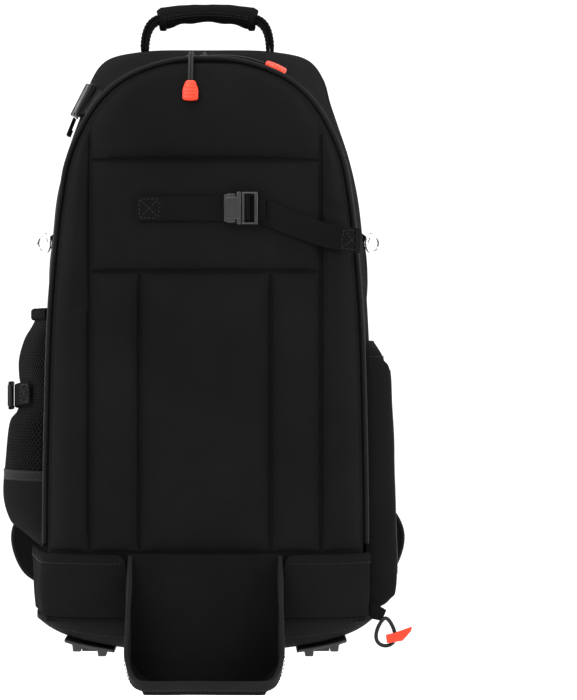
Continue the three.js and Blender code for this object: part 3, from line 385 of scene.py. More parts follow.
def cover_y(x, h):
    """The inner face of the front cover, a dome that rises from the piping."""
    side = np.maximum(face_half(h) - np.abs(x), 0)
    up = np.maximum(crown_at(np.minimum(np.abs(x), face_half(h))) - h, 0)
    edge = side * up / np.maximum(np.hypot(side, up), 1e-9)
    tuck = 1 - FACE_TUCK * np.exp(-(h - BASE_H) / FACE_TUCK_H)
    return -(GUSSET_D + GAP + FACE_RISE * tuck * (1 - np.exp(-edge / FACE_ROLL)))


def seat_y(x, h):
    return cover_y(x, h) - COVER_T


# Making meshes
def place(points):
    """Millimetres with heights from the feet plane, to metres in the row's frame."""
    p = np.array(points, float)
    p[..., 2] -= SIT_H
    return p * MM


def lengths(grid):
    """Real distances over a grid of points, across each row from its middle and up each column."""
    across = np.zeros(grid.shape[:2])
    across[:, 1:] = np.cumsum(np.linalg.norm(np.diff(grid, axis=1), axis=2), axis=1)
    across -= across[:, [grid.shape[1] // 2]]
    up = np.zeros(grid.shape[:2])
    up[1:] = np.cumsum(np.linalg.norm(np.diff(grid, axis=0), axis=2), axis=0)
    return np.stack([across, up], axis=2) * MM


def make(name, points, faces, uvs, material, slot, nodes=(), sharp=55, padded=None):
    """A finished piece of the object: an object with real-size UVs that rides on the bag."""
    mesh = bpy.data.meshes.new(name)
    mesh.from_pydata([tuple(p) for p in place(points)], [], [tuple(int(i) for i in f) for f in faces])
    if uvs is not None:
        layer = mesh.uv_layers.new(name="cloth")
        index = np.zeros(len(mesh.loops), np.int32)
        mesh.loops.foreach_get("vertex_index", index)
        layer.data.foreach_set("uv", np.asarray(uvs, float).reshape(-1, 2)[index].ravel())
    mesh.materials.append(material)
    obj = bpy.data.objects.new(name, mesh)
    bpy.context.collection.objects.link(obj)
    mesh.shade_smooth()
    mesh.set_sharp_from_angle(angle=math.radians(sharp))
    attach(obj, "root")
    if nodes:
        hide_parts(*([nodes] if isinstance(nodes, str) else nodes))
    return obj


def outward(points, faces):
    """The faces, all turned over if the closed body is inside out."""
    p = np.asarray(points, float)
    total = 0.0
    for size in {len(f) for f in faces}:
        group = np.array([f for f in faces if len(f) == size])
        for i in range(1, size - 1):
            total += np.einsum("ij,ij->", p[group[:, 0]], np.cross(p[group[:, i]], p[group[:, i + 1]]))
    return faces if total > 0 else [f[::-1] for f in faces]


def slab_faces(rows, cols):
    def at(side, r, c):
        return side * rows * cols + r * cols + c
    faces = []
    for r in range(rows - 1):
        for c in range(cols - 1):
            faces.append([at(0, r, c), at(0, r, c + 1), at(0, r + 1, c + 1), at(0, r + 1, c)])
            faces.append([at(1, r, c), at(1, r + 1, c), at(1, r + 1, c + 1), at(1, r, c + 1)])
    top, end = rows - 1, cols - 1
    for c in range(end):
        faces.append([at(0, 0, c + 1), at(0, 0, c), at(1, 0, c), at(1, 0, c + 1)])
        faces.append([at(0, top, c), at(0, top, c + 1), at(1, top, c + 1), at(1, top, c)])
    for r in range(top):
        faces.append([at(0, r, 0), at(0, r + 1, 0), at(1, r + 1, 0), at(1, r, 0)])
        faces.append([at(0, r + 1, end), at(0, r, end), at(1, r, end), at(1, r + 1, end)])
    return faces


def slab(name, front, back, material, slot, nodes=(), **more):
    """A closed body between two sheets on one grid."""
    front, back = np.asarray(front, float), np.asarray(back, float)
    points = np.concatenate([front.reshape(-1, 3), back.reshape(-1, 3)])
    faces = outward(points, slab_faces(*front.shape[:2]))
    uv = lengths(front).reshape(-1, 2)
    return make(name, points, faces, np.concatenate([uv, uv]), material, slot, nodes, **more)


def unit(v):
    return v / np.maximum(np.linalg.norm(v, axis=-1, keepdims=True), 1e-12)


def ways(path, loop=False):
    if loop:
        return unit(np.roll(path, -1, axis=0) - np.roll(path, 1, axis=0))
    return unit(np.gradient(path, axis=0))


def sweep_points(path, across, section, loop=False):
    """Rings of points: section[:, 0] runs along across and section[:, 1] along the path's up."""
    path = np.asarray(path, float)
    way = ways(path, loop)
    across = np.broadcast_to(np.asarray(across, float), path.shape)
    side = unit(across - way * (across * way).sum(1, keepdims=True))
    up = np.cross(way, side)
    section = np.broadcast_to(section, (len(path),) + np.shape(section)[-2:])
    return path[:, None] + side[:, None] * section[..., :1] + up[:, None] * section[..., 1:]


def tube_faces(count, n, loop=False):
    faces = []
    for i in range(count if loop else count - 1):
        j = (i + 1) % count
        for k in range(n):
            m = (k + 1) % n
            faces.append([i * n + k, i * n + m, j * n + m, j * n + k])
    if not loop:
        faces.append(list(range(n))[::-1])
        faces.append([(count - 1) * n + k for k in range(n)])
    return faces


def sweep(name, path, across, section, material, slot, nodes=(), loop=False, **more):
    rings = sweep_points(path, across, section, loop)
    ring = np.asarray(section, float)
    ring = ring[0] if ring.ndim == 3 else ring
    girth = np.concatenate([[0], np.cumsum(np.linalg.norm(np.roll(ring, -1, axis=0) - ring, axis=1))[:-1]])
    uv = np.stack(np.broadcast_arrays(girth[None, :], arc(path)[:, None]), axis=2) * MM
    points = rings.reshape(-1, 3)
    faces = outward(points, tube_faces(*rings.shape[:2], loop))
    return make(name, points, faces, uv, material, slot, nodes, **more)


def circle(radius, sides):
    a = np.linspace(0, 2 * math.pi, sides, endpoint=False)
    return np.stack([radius * np.cos(a), radius * np.sin(a)], axis=1)


def band(width, thickness, corner=None, sides=3):
    """The section of a flat strap with rounded edges, its width first."""
    r = min(thickness / 2 if corner is None else corner, thickness / 2, width / 2)
    out = []
    for cx, cy, start in ((1, 1, 0), (-1, 1, 0.5), (-1, -1, 1), (1, -1, 1.5)):
        for a in np.linspace(start * math.pi, (start + 0.5) * math.pi, sides + 1):
            out.append([cx * (width / 2 - r) + r * math.cos(a), cy * (thickness / 2 - r) + r * math.sin(a)])
    return np.array(out)


def arc(path):
    """Distances along a line of points."""
    return np.concatenate([[0], np.cumsum(np.linalg.norm(np.diff(path, axis=0), axis=1))])


def even(line, count):
    """A line with points at even distances along it."""
    line = np.asarray(line, float)
    at = arc(line)
    to = np.linspace(0, at[-1], count)
    return np.stack([np.interp(to, at, column) for column in line.T], axis=1)


def resample(path, step):
    return even(path, max(int(round(arc(path)[-1] / step)), 2) + 1)


def stitches(name, lines, normals, slot="webbing", pitch=3.4, long=2.3, thick=0.32):
    """Rows of raised thread stitches along lines of points, as one mesh."""
    points, faces = [], []
    ring = circle(thick, 6)
    for line, normal in zip(lines, normals):
        path = resample(line, pitch / 4)
        way = ways(path)
        normal = np.atleast_2d(np.asarray(normal, float))
        at = np.linspace(0, len(normal) - 1, len(path))
        up = np.stack([np.interp(at, range(len(normal)), column) for column in normal.T], axis=1)
        for i in range(2, len(path) - 2, 4):
            side = unit(np.cross(way[i], up[i]))
            top = unit(np.cross(side, way[i]))
            start = len(points)
            for s, fat, lift in ((-0.5, 0.35, -0.5), (-0.3, 0.9, 0.0), (0.3, 0.9, 0.0), (0.5, 0.35, -0.5)):
                middle = path[i] + way[i] * s * long + top * lift * thick
                points.extend(middle + side * a * fat + top * b * fat for a, b in ring)
            faces.extend([[start + q for q in f] for f in tube_faces(4, 6)])
    return make(name, points, faces, None, thread, slot)


# Materials
class Look:
    """A material, and the steps that its pattern is made of."""

    def __init__(self, name, colour, roughness, **more):
        self.material = bpy.data.materials.new(name)
        self.material.use_nodes = True
        self.tree = self.material.node_tree
        self.inputs = self.tree.nodes["Principled BSDF"].inputs
        self.colour = colour
        self.roughness = roughness
        self.inputs["Base Color"].default_value = (*colour, 1)
        self.inputs["Roughness"].default_value = roughness
        for key, value in more.items():
            self.inputs[key.replace("_", " ").title().replace("Ior", "IOR")].default_value = value

    def feed(self, socket, value):
        if isinstance(value, bpy.types.NodeSocket):
            self.tree.links.new(value, socket)
        else:
            socket.default_value = value

    def add(self, kind, **given):
        """A node whose named inputs get numbers or other nodes' outputs."""
        node = self.tree.nodes.new("ShaderNode" + kind)
        for key, value in given.items():
            self.feed(node.inputs[key], value)
        return node

    def maths(self, operation, *given):
        node = self.add("Math")
        node.operation = operation
        for socket, value in zip(node.inputs, given):
            self.feed(socket, value)
        return node.outputs[0]

    def cloth(self):
        """How far across and along the cloth a place is."""
        uv = self.add("UVMap")
        uv.uv_map = "cloth"
        split = self.add("SeparateXYZ", Vector=uv.outputs[0])
        return split.outputs[0], split.outputs[1]

    def sines(self, source, pitch):
        wave = self.maths("SINE", self.maths("MULTIPLY", source, 2 * math.pi / pitch))
        return self.maths("MULTIPLY_ADD", wave, 0.5, 0.5)

    def noise(self, scale, detail=3.0):
        place_on = self.add("TexCoord").outputs["Object"]
        return self.add("TexNoise", Scale=scale, Detail=detail, Vector=place_on).outputs["Fac"]

    def tint(self, share, dark, light):
        """The colour between a darker and a lighter shade of itself, by a 0 to 1 share."""
        mix = self.add("Mix")
        mix.data_type = "RGBA"
        for index, shade in ((6, dark), (7, light)):
            mix.inputs[index].default_value = (*[c * shade for c in self.colour], 1)
        self.feed(mix.inputs[0], share)
        self.feed(self.inputs["Base Color"], mix.outputs[2])

    def uneven(self, share, spread):
        rough = self.maths("MULTIPLY_ADD", share, spread, self.roughness - spread / 2)
        self.feed(self.inputs["Roughness"], rough)

    def bump(self, height, distance, strength=1.0, **before):
        node = self.add("Bump", Height=height, Distance=distance, Strength=strength, **before)
        self.feed(self.inputs["Normal"], node.outputs["Normal"])
        return node.outputs["Normal"]


def twill(name, colour, roughness=0.82, pitch=0.0019, depth=0.00022, **more):
    """Twill cloth: slanting ridges broken into threads, with painted shade that makes the ridges lighter and
    the grooves darker, uneven dye and a little sheen.
    """
    look = Look(name, colour, roughness, **more)
    u, v = look.cloth()
    slant = look.sines(look.maths("ADD", u, v), pitch)
    fine = look.sines(look.maths("SUBTRACT", u, v), pitch * 0.62)
    weave_height_and_shade = look.maths("MULTIPLY", slant, look.maths("MULTIPLY_ADD", fine, 0.45, 0.5))
    dye = look.maths("MULTIPLY", look.noise(14.0, 4.0), 0.45)
    # Painted shade: the colour is lighter on the weave's ridges and darker in its grooves, mixed with the
    # uneven dye
    look.tint(look.maths("MULTIPLY_ADD", weave_height_and_shade, 0.62, dye), 0.35, 1.9)
    look.uneven(look.noise(900.0, 2.0), 0.16)
    soft = look.bump(look.noise(55.0), 0.0006, 0.5)
    look.bump(weave_height_and_shade, depth, 0.9, Normal=soft)
    return look.material


def ribbed(name, colour, roughness=0.7, pitch=0.0016, depth=0.00025, **more):
    """Woven webbing: ribs across its length and fine cords along it, with painted shade that makes the ribs
    lighter and the gaps between them darker.
    """
    look = Look(name, colour, roughness, **more)
    u, v = look.cloth()
    rib, cord = look.sines(v, pitch), look.sines(u, pitch * 1.3)
    weave_height_and_shade = look.maths("MULTIPLY", rib, look.maths("MULTIPLY_ADD", cord, 0.5, 0.5))
    dye = look.maths("MULTIPLY", look.noise(30.0), 0.5)
    # Painted shade: the colour is lighter on the ribs and cords and darker between them, mixed with uneven dye
    look.tint(look.maths("MULTIPLY_ADD", weave_height_and_shade, 0.6, dye), 0.6, 1.5)
    look.bump(weave_height_and_shade, depth)
    return look.material


def airmesh(name, colour, roughness=0.9, pitch=0.0034, depth=0.0007, **more):
    """Spacer mesh: round dimples in a staggered pattern, with painted shade that makes the dimples darker."""
    look = Look(name, colour, roughness, **more)
    u, v = look.cloth()
    slant = look.maths("MULTIPLY", v, 0.6)
    one, two = (look.sines(look.maths(way, u, slant), pitch) for way in ("ADD", "SUBTRACT"))
    dimple_height_and_shade = look.maths("SUBTRACT", 1.0, look.maths("POWER", look.maths("MULTIPLY", one, two), 0.6))
    dye = look.maths("MULTIPLY", look.noise(25.0), 0.4)
    # Painted shade: the colour is darker in the dimples and lighter on the mesh between them, mixed with uneven
    # dye
    look.tint(look.maths("MULTIPLY_ADD", dimple_height_and_shade, 0.7, dye), 0.35, 1.5)
    look.bump(dimple_height_and_shade, depth)
    return look.material


def moulded(name, colour, roughness, grain=700.0, depth=0.00012, **more):
    """Moulded plastic or rubber: a fine grain, slightly uneven gloss and colour."""
    look = Look(name, colour, roughness, **more)
    look.tint(look.noise(40.0, 4.0), 0.8, 1.2)
    look.uneven(look.noise(160.0), 0.2)
    look.bump(look.noise(grain), depth, 0.6)
    return look.material


SHEEN = dict(sheen_weight=0.004, sheen_roughness=0.5, specular_ior_level=0.02, ior=1.2)
body_cloth = twill("body_cloth", (0.007, 0.007, 0.0073), **SHEEN)
lining_cloth = twill("lining_cloth", (0.003, 0.003, 0.0031), specular_ior_level=0.02, ior=1.2)
base_cloth = twill("base_cloth", (0.0085, 0.0085, 0.0088), 0.7, 0.0012, 0.00008, sheen_weight=0.004,
                   sheen_roughness=0.4, specular_ior_level=0.04, ior=1.2)
web_cloth = ribbed("web_cloth", (0.0058, 0.0058, 0.006), sheen_weight=0.004, specular_ior_level=0.03, ior=1.2)
binding_cloth = ribbed("binding_cloth", (0.0105, 0.0105, 0.0107), 0.6, 0.0011, 0.00012,
                       sheen_weight=0.01, specular_ior_level=0.08, ior=1.3)
piping_cloth = ribbed("piping_cloth", (0.0075, 0.0075, 0.0077), 0.55, 0.0013, 0.00012,
                      sheen_weight=0.012, specular_ior_level=0.06)
net_cloth = ribbed("net_cloth", (0.011, 0.011, 0.011), 0.8, 0.001, 0.0001, specular_ior_level=0.05, ior=1.25)
back_mesh = airmesh("back_mesh", (0.0095, 0.0095, 0.0097), sheen_weight=0.01, specular_ior_level=0.04, ior=1.2)
thread = ribbed("thread", (0.011, 0.011, 0.011), 0.55, 0.0008, 0.0001, specular_ior_level=0.2)
gloss_plastic = moulded("gloss_plastic", (0.013, 0.013, 0.0135), 0.32, specular_ior_level=0.5)
dark_plastic = moulded("dark_plastic", (0.006, 0.006, 0.0062), 0.42, specular_ior_level=0.2)
foot_plastic = moulded("foot_plastic", (0.02, 0.02, 0.021), 0.5, specular_ior_level=0.4)
orange = moulded("orange", (0.78, 0.034, 0.004), 0.42, 400.0, 0.00015, specular_ior_level=0.45)
cord_cloth = ribbed("cord_cloth", (0.0055, 0.0055, 0.0057), 0.65, 0.0012, 0.0003, specular_ior_level=0.3)
chrome = moulded("chrome", (0.62, 0.63, 0.64), 0.2, 300.0, 0.00002, metallic=1.0)


# Camera at the photograph's angle
CAMERA_X = 30.0
VIEW_X = 68.5
VIEW_H = 256.0
FRONT_Y = -185.0
CAMERA_FAR = 2200.0
PIXEL = 0.82
FRAME_PIXELS = (577, 700)

camera = bpy.data.objects.new("camera", bpy.data.cameras.new("camera"))
bpy.context.collection.objects.link(camera)
camera.location = place([CAMERA_X, FRONT_Y - CAMERA_FAR, VIEW_H])
camera.rotation_euler = (math.radians(90), 0, 0)
camera.data.sensor_width = SENSOR_W
camera.data.lens = SENSOR_W * CAMERA_FAR / (FRAME_PIXELS[1] * PIXEL)
camera.data.shift_x = (VIEW_X - CAMERA_X) / (FRAME_PIXELS[1] * PIXEL)
camera.data.clip_end = 50
bpy.context.scene.camera = camera


def smooth_table(table):
    """A smooth function through a table's rows."""
    line = through(np.asarray(table, float)[:, :2], 24)
    order = np.maximum.accumulate(line[:, 0])
    return lambda share: np.interp(share, order, line[:, 1])


base_reached = smooth_table(BASE_SECTION)
mesh_section = smooth_table(MESH_SECTION)
box_section = smooth_table(BOX_SECTION)


def front_out(x, h):
    """How far the quilted front reaches at a place, for what lies on it."""
    x, h = np.broadcast_arrays(np.asarray(x, float), np.asarray(h, float))
    edges = group_edges(h)
    raised = np.abs(x) <= edges["groove"]
    pad = np.where(raised, PANEL_PAD, STRIP_PAD)
    first = np.where(raised, -edges["groove"], edges["strip_in"])
    last = np.where(raised, edges["groove"], edges["half"] - GROOVE_W)
    u = 2 * (np.where(raised, x, np.abs(x)) - first) / (last - first) - 1
    crown = np.maximum(1 - np.abs(u) ** 4, 0)
    low, top = SEAM_HIGH_H + GROOVE_W / 2, FACE_H - CROWN_TRIM
    rise = np.clip((h - low) / (top - low), 0.5, 1)
    v = 1 - 2 * (1 - rise) ** (1 / HIGH_EASE)
    fade = np.where(raised & (h > (low + top) / 2), 1 - np.abs(v) ** 8, 1)
    at = np.minimum(np.abs(x), edges["half"] - GAP)
    return -seat_y(at, h) + GAP + PAD_EDGE + pad * crown * fade


class Lane:
    """A strap's middle line, with places on it by distance along and across."""

    def __init__(self, path, across):
        self.path = np.asarray(path, float)
        way = ways(self.path)
        across = np.broadcast_to(np.asarray(across, float), self.path.shape)
        self.side = unit(across - way * (across * way).sum(1, keepdims=True))
        self.up = np.cross(way, self.side)
        self.at = arc(self.path)
        self.length = float(self.at[-1])

    def mixed(self, values, a):
        return np.stack([np.interp(a, self.at, values[:, k]) for k in range(3)], axis=-1)

    def spot(self, a, b, lift):
        a, b, lift = np.broadcast_arrays(*(np.asarray(v, float) for v in (a, b, lift)))
        side, up = self.mixed(self.side, a), self.mixed(self.up, a)
        return self.mixed(self.path, a) + side * b[..., None] + up * lift[..., None]


def sewn_box(name, lane, a0, a1, half, lift, face=1):
    """A box of stitches with a cross in it, on a strap's face."""
    corners = [(a0, -half), (a1, -half), (a1, half), (a0, half), (a0, -half), (a1, half)]
    lines, normals = [], []
    for (p, q), (r, s) in [*zip(corners, corners[1:]), ((a0, half), (a1, -half))]:
        t = np.linspace(0, 1, 8)
        a, b = p + (r - p) * t, q + (s - q) * t
        lines.append(lane.spot(a, b, face * lift))
        normals.append(lane.mixed(lane.up, a) * face)
    stitches(name, lines, normals)


def webbing(name, path, across, width, node=(), ends=(True, True), face=1):
    """A flat strap with rounded selvedges and sewn ends."""
    lane = Lane(resample(path, 1.6), across)
    sweep(name, lane.path, lane.side, band(width, WEB_T, WEB_T * 0.48, 4), web_cloth, "webbing", node)
    half, lift, inset = width / 2 - SEWN_IN, WEB_T / 2 + 0.1, SEWN_IN
    long = min(width * 0.8, lane.length / 3)
    if ends[0]:
        sewn_box(name + "_stitch_a", lane, inset, inset + long, half, lift, face)
    if ends[1]:
        sewn_box(name + "_stitch_b", lane, lane.length - inset - long, lane.length - inset, half, lift, face)
    return lane


def rounded(obj, bevel, segments):
    rounding = obj.modifiers.new("rounded_edges", "BEVEL")
    rounding.width = bevel * MM
    rounding.segments = segments
    rounding.limit_method = "ANGLE"
    return obj


def blocks(name, boxes, material, slot, nodes=(), bevel=0.8, segments=3):
    """Moulded pieces: bevelled blocks, each a middle, three directions and three sizes."""
    points, faces = [], []
    corner_faces = [(0, 1, 3, 2), (4, 6, 7, 5), (0, 4, 5, 1), (2, 3, 7, 6), (0, 2, 6, 4), (1, 5, 7, 3)]
    for middle, dirs, sizes in boxes:
        dirs = [np.asarray(d, float) for d in dirs]
        if np.dot(np.cross(dirs[0], dirs[1]), dirs[2]) < 0:
            dirs[2] = -dirs[2]
        faces.extend([[len(points) + q for q in f] for f in corner_faces])
        for corner in itertools.product((-0.5, 0.5), repeat=3):
            points.append(np.asarray(middle, float) + sum(d * s * q for d, s, q in zip(dirs, sizes, corner)))
    return rounded(make(name, points, faces, None, material, slot, nodes, sharp=40), bevel, segments)


def prism(name, outline, y_front, y_back, material, slot, nodes=(), bevel=0.8):
    """A moulded plate: an outline of x and h between two depths, with rounded edges."""
    n = len(outline)
    points = [(x, y, h) for y in (y_front, y_back) for x, h in outline]
    faces = [[i, (i + 1) % n, n + (i + 1) % n, n + i] for i in range(n)]
    faces += [list(range(n))[::-1], [n + i for i in range(n)]]
    return rounded(make(name, points, outward(points, faces), None, material, slot, nodes, sharp=40), bevel, 3)


def coil(name, path, width, thick, swell, material):
    """A zip's coil: a flat band whose turns stand out."""
    path = resample(path, 0.62)
    turn = 0.5 + 0.5 * np.sign(np.sin(2 * math.pi * np.arange(len(path)) / 4 + 0.4))
    section = band(width, thick)[None] * (1 + swell * turn[:, None, None]) * np.array([0.9, 1.0])
    sweep(name, path, (0, 1, 0), section, material, "buckle_plastic", sharp=70)


# Zip pulls: a slider, a doubled cord and a moulded grip each
def doubled_cord(name, route, across, far):
    """Two strands side by side along a route, made as one mesh and returned with a list of the cord's facts."""
    step, sides = 0.8, 10
    path = resample(through(route, 12), step)
    r = PULL_CORD_R * 0.52
    points, faces = [], []
    for shift in (r - PULL_CORD_R, PULL_CORD_R - r):
        rings = sweep_points(path, across, circle(r, sides) + [shift, 0]).reshape(-1, 3)
        faces.extend([[len(points) + q for q in f] for f in outward(rings, tube_faces(len(path), sides))])
        points.extend(rings)
    along = np.repeat(np.arange(len(path)) * step, sides)
    uv = np.stack([np.tile(np.arange(sides) * 0.7, len(path)), along], axis=1) * MM
    obj = make(name, points, faces, np.concatenate([uv, uv]), cord_cloth, "cord", name)
    line = [tuple(p) for p in place(path)]
    return obj, dict(exit=line[0], length=float(arc(path)[-1]) * MM, diameter=2 * PULL_CORD_R * MM,
                     far_end="fitting", stiffness="limp", path=line, with_pieces=[far])


def pull_grip(name, lane_points, across):
    """A moulded grip that widens to a round end, with ridges across it."""
    path = resample(lane_points, 0.5)
    lane = Lane(path, across)
    s = lane.at / lane.length
    half = PULL_GRIP_W / 2 * (0.66 + 0.34 * smoothstep(s, 0, 0.55))
    ends = np.sqrt(np.clip(1 - ((0.5 - np.minimum(s, 1 - s)) / 0.5) ** 14, 0.02, 1))
    ridge = 1 + 0.09 * np.sin(2 * math.pi * s * 6) * smoothstep(s, 0.25, 0.4) * (1 - smoothstep(s, 0.85, 0.95))
    section = band(1, 1, 0.42, 4)
    wide = (2 * half * ends)[:, None]
    tall = (PULL_GRIP_T * 0.92 * ends * ridge)[:, None]
    rings = np.stack([section[None, :, 0] * wide, section[None, :, 1] * tall], axis=2)
    return sweep(name, path, lane.side, rings, orange, "orange_rubber", name, sharp=60)


def slider(name, x, node):
    """A zip slider: a waisted body, its bridge and the puller's ring."""
    low = float(top_h(x, SLIDER_L / 2 - ZIP_D)) + EASE
    rows = (
        (0, 0.9, SLIDER_W * 0.95, SLIDER_L, 1.6), (0.22, 1.0, SLIDER_W, SLIDER_L * 0.45, 1.9),
        (0, 3.4, 2.2, SLIDER_L * 0.8, 1.0), (0.34, 2.3, 2.2, 1.4, 2.6), (-0.34, 2.3, 2.2, 1.4, 2.6),
    )
    blocks(name, [(np.array([x, -ZIP_D, low]) + [0, SLIDER_L * along, up], AXES, size)
                  for along, up, *size in rows], gloss_plastic, "buckle_plastic", node, bevel=0.45)


def zip_pulls():
    right_x = HANG_PULL_X + SLIDER_W + SLIDER_GAP
    slider("slider_left", HANG_PULL_X, "zip_slider_left")
    slider("slider_right", right_x, "zip_slider_right")

    def on_front(h, thick=PULL_CORD_R):
        return (HANG_PULL_X, -(float(front_out(HANG_PULL_X, h)) + thick + GAP + EASE), h)

    def on_top(x, up, y=-ZIP_D):
        return (x, y, float(top_h(x, y)) + up)
    top = FACE_H + 2 * PIPING_R + 3 * GAP + PULL_CORD_R + EASE
    hanging = [
        (HANG_PULL_X, -(ZIP_D + SLIDER_L / 2 + GAP), float(top_h(HANG_PULL_X, -ZIP_D)) + SLIDER_T + GAP + EASE),
        (HANG_PULL_X, -(GUSSET_D - 0.5), top),
        (HANG_PULL_X, -(GUSSET_D + COVER_T + PIPING_R + 1.5), top - 2.5),
        on_front(FACE_H - 7), on_front(FACE_H - 12), on_front(FACE_H - PULL_HANG),
    ]
    low = FACE_H - PULL_HANG - GAP
    grip_line = [on_front(h, PULL_GRIP_T / 2) for h in np.linspace(low, low - PULL_GRIP_L, 4)]
    grip = pull_grip("pull_grip_left", grip_line, (1, 0, 0))
    cord, facts = doubled_cord("pull_cord_left", hanging, (1, 0, 0), grip)
    first = right_x + SLIDER_W / 2 + 2 * GAP
    lying = [on_top(x, PULL_CORD_R + GAP + EASE, -ZIP_D + PULL_SWAY * math.sin(i / 5 * math.pi))
             for i, x in enumerate(np.linspace(first, LYING_PULL_X, 6))]
    start = LYING_PULL_X + GAP + EASE
    grip_line = [on_top(x, PULL_GRIP_T / 2 + GRIP_EASE) for x in np.linspace(start, start + PULL_GRIP_L, 4)]
    rise = float(top_h(LYING_PULL_X, SLIDER_T - ZIP_D) - top_h(LYING_PULL_X, -ZIP_D))
    slope = np.array([0, SLIDER_T, rise]) / math.hypot(SLIDER_T, rise)
    grip = pull_grip("pull_grip_right", grip_line, slope)
    cord, facts = doubled_cord("pull_cord_right", lying, (0, 1, 0), grip)


# Corner boots
def offset_row(line, distance):
    """A line of x and y moved to its outer side."""
    way = unit(np.gradient(line, axis=0))
    return line + np.stack([-way[:, 1], way[:, 0]], axis=1) * np.asarray(distance)[:, None] * -1


def boot_row(h, back, count, inner):
    half = float(face_half(h))
    x = inner + (half - 2 - inner) * (1 - (1 - np.linspace(0, 1, 6)) ** BOOT_CREEP)
    front = [(a, float(seat_y(a, h))) for a in x]
    turns = max(1, round((GUSSET_D - back) / BOOT_STEP))
    depths = np.linspace(GUSSET_D, back, turns + 1)[1:]
    flank = [(float(side_x(h, -d)), -d) for d in depths]
    return even(through(front + [(half, -(GUSSET_D + COVER_T))] + flank, 10), count)


def boot(name, side, back, seed):
    top = BOOT_H - GROOVE_W - EASE
    low = BASE_H + EASE + GAP
    v = np.concatenate([np.linspace(0, 0.93, 26), [0.96, 0.985, 1.0]])
    count = 96 if back < 100 else 60
    outer, inner = [], []
    for share in v:
        h = low + (top - low) * share
        near_top = max(h - (top - BOOT_CORNER), 0) / BOOT_CORNER
        line = boot_row(h, back, count, BOOT_INNER_X + BOOT_CORNER * (1 - math.sqrt(1 - near_top**2)))
        at = arc(line)
        hem = BOOT_HEM * smoothstep(share, 0.80, 0.83)
        round_end = BOOT_ROUND * smoothstep(share, 0.965, 1.0)
        swell = BOOT_SWELL * np.sin(np.pi * np.clip(share / 0.85, 0, 1))
        swell = swell + BOOT_CREASE * waves(at * 0.7, h + at * 0.35, 34, seed)
        thick = BOOT_T - 0.8 + swell * smoothstep(np.minimum(at, at[-1] - at), 0, 8) + hem - round_end
        for rows, out in ((outer, CLOTH_GAP + np.maximum(thick, 0.8)), (inner, np.full(count, CLOTH_GAP))):
            row = offset_row(line, out)
            rows.append(np.column_stack([side * row[:, 0], row[:, 1], np.full(count, h)]))
    outer, inner = np.array(outer), np.array(inner)
    slab(name, outer, inner, body_cloth, "body_cloth", name)
    line = outer[BOOT_SEAM_ROW, 2:-2]
    normal = unit(line - inner[BOOT_SEAM_ROW, 2:-2])
    stitches(name + "_stitches", [line + normal * 0.12], [normal], "body_cloth")


def base():
    v = np.linspace(0, 1, 60)[:, None]
    u = np.linspace(-1, 1, 131)[None, :]
    x = u * (BODY_W / 2 - BASE_INSET) * (1 - BASE_TAPER * v**6)
    reached = base_reached(np.abs(u) + 0 * v) * (1 - np.abs(2 * v - 1) ** 7)
    low = BASE_H - BASE_EDGE_T - BASE_DROP * reached
    low = low + BASE_FOLD * np.maximum(waves(x, v * 150, 70, 41), 0) * np.clip((low - 6) / 20, 0, 1)
    front = cover_y(np.minimum(np.abs(x), face_half(BASE_H + 1)), BASE_H + 1) - COVER_T
    y = -BASE_BACK + (front + BASE_BACK) * v
    lower = np.stack([x, y, low], axis=2)
    upper = np.stack([x, y, np.minimum(low + BASE_T, BASE_H)], axis=2)
    slab("base", lower, upper, base_cloth, "base_cloth", "base_panel", padded=0.5)
    stitches("base_stitches", [lower[r] - [0, 0, 0.1] for r in (3, 56)], [(0, 0, -1)] * 2, "base_cloth")


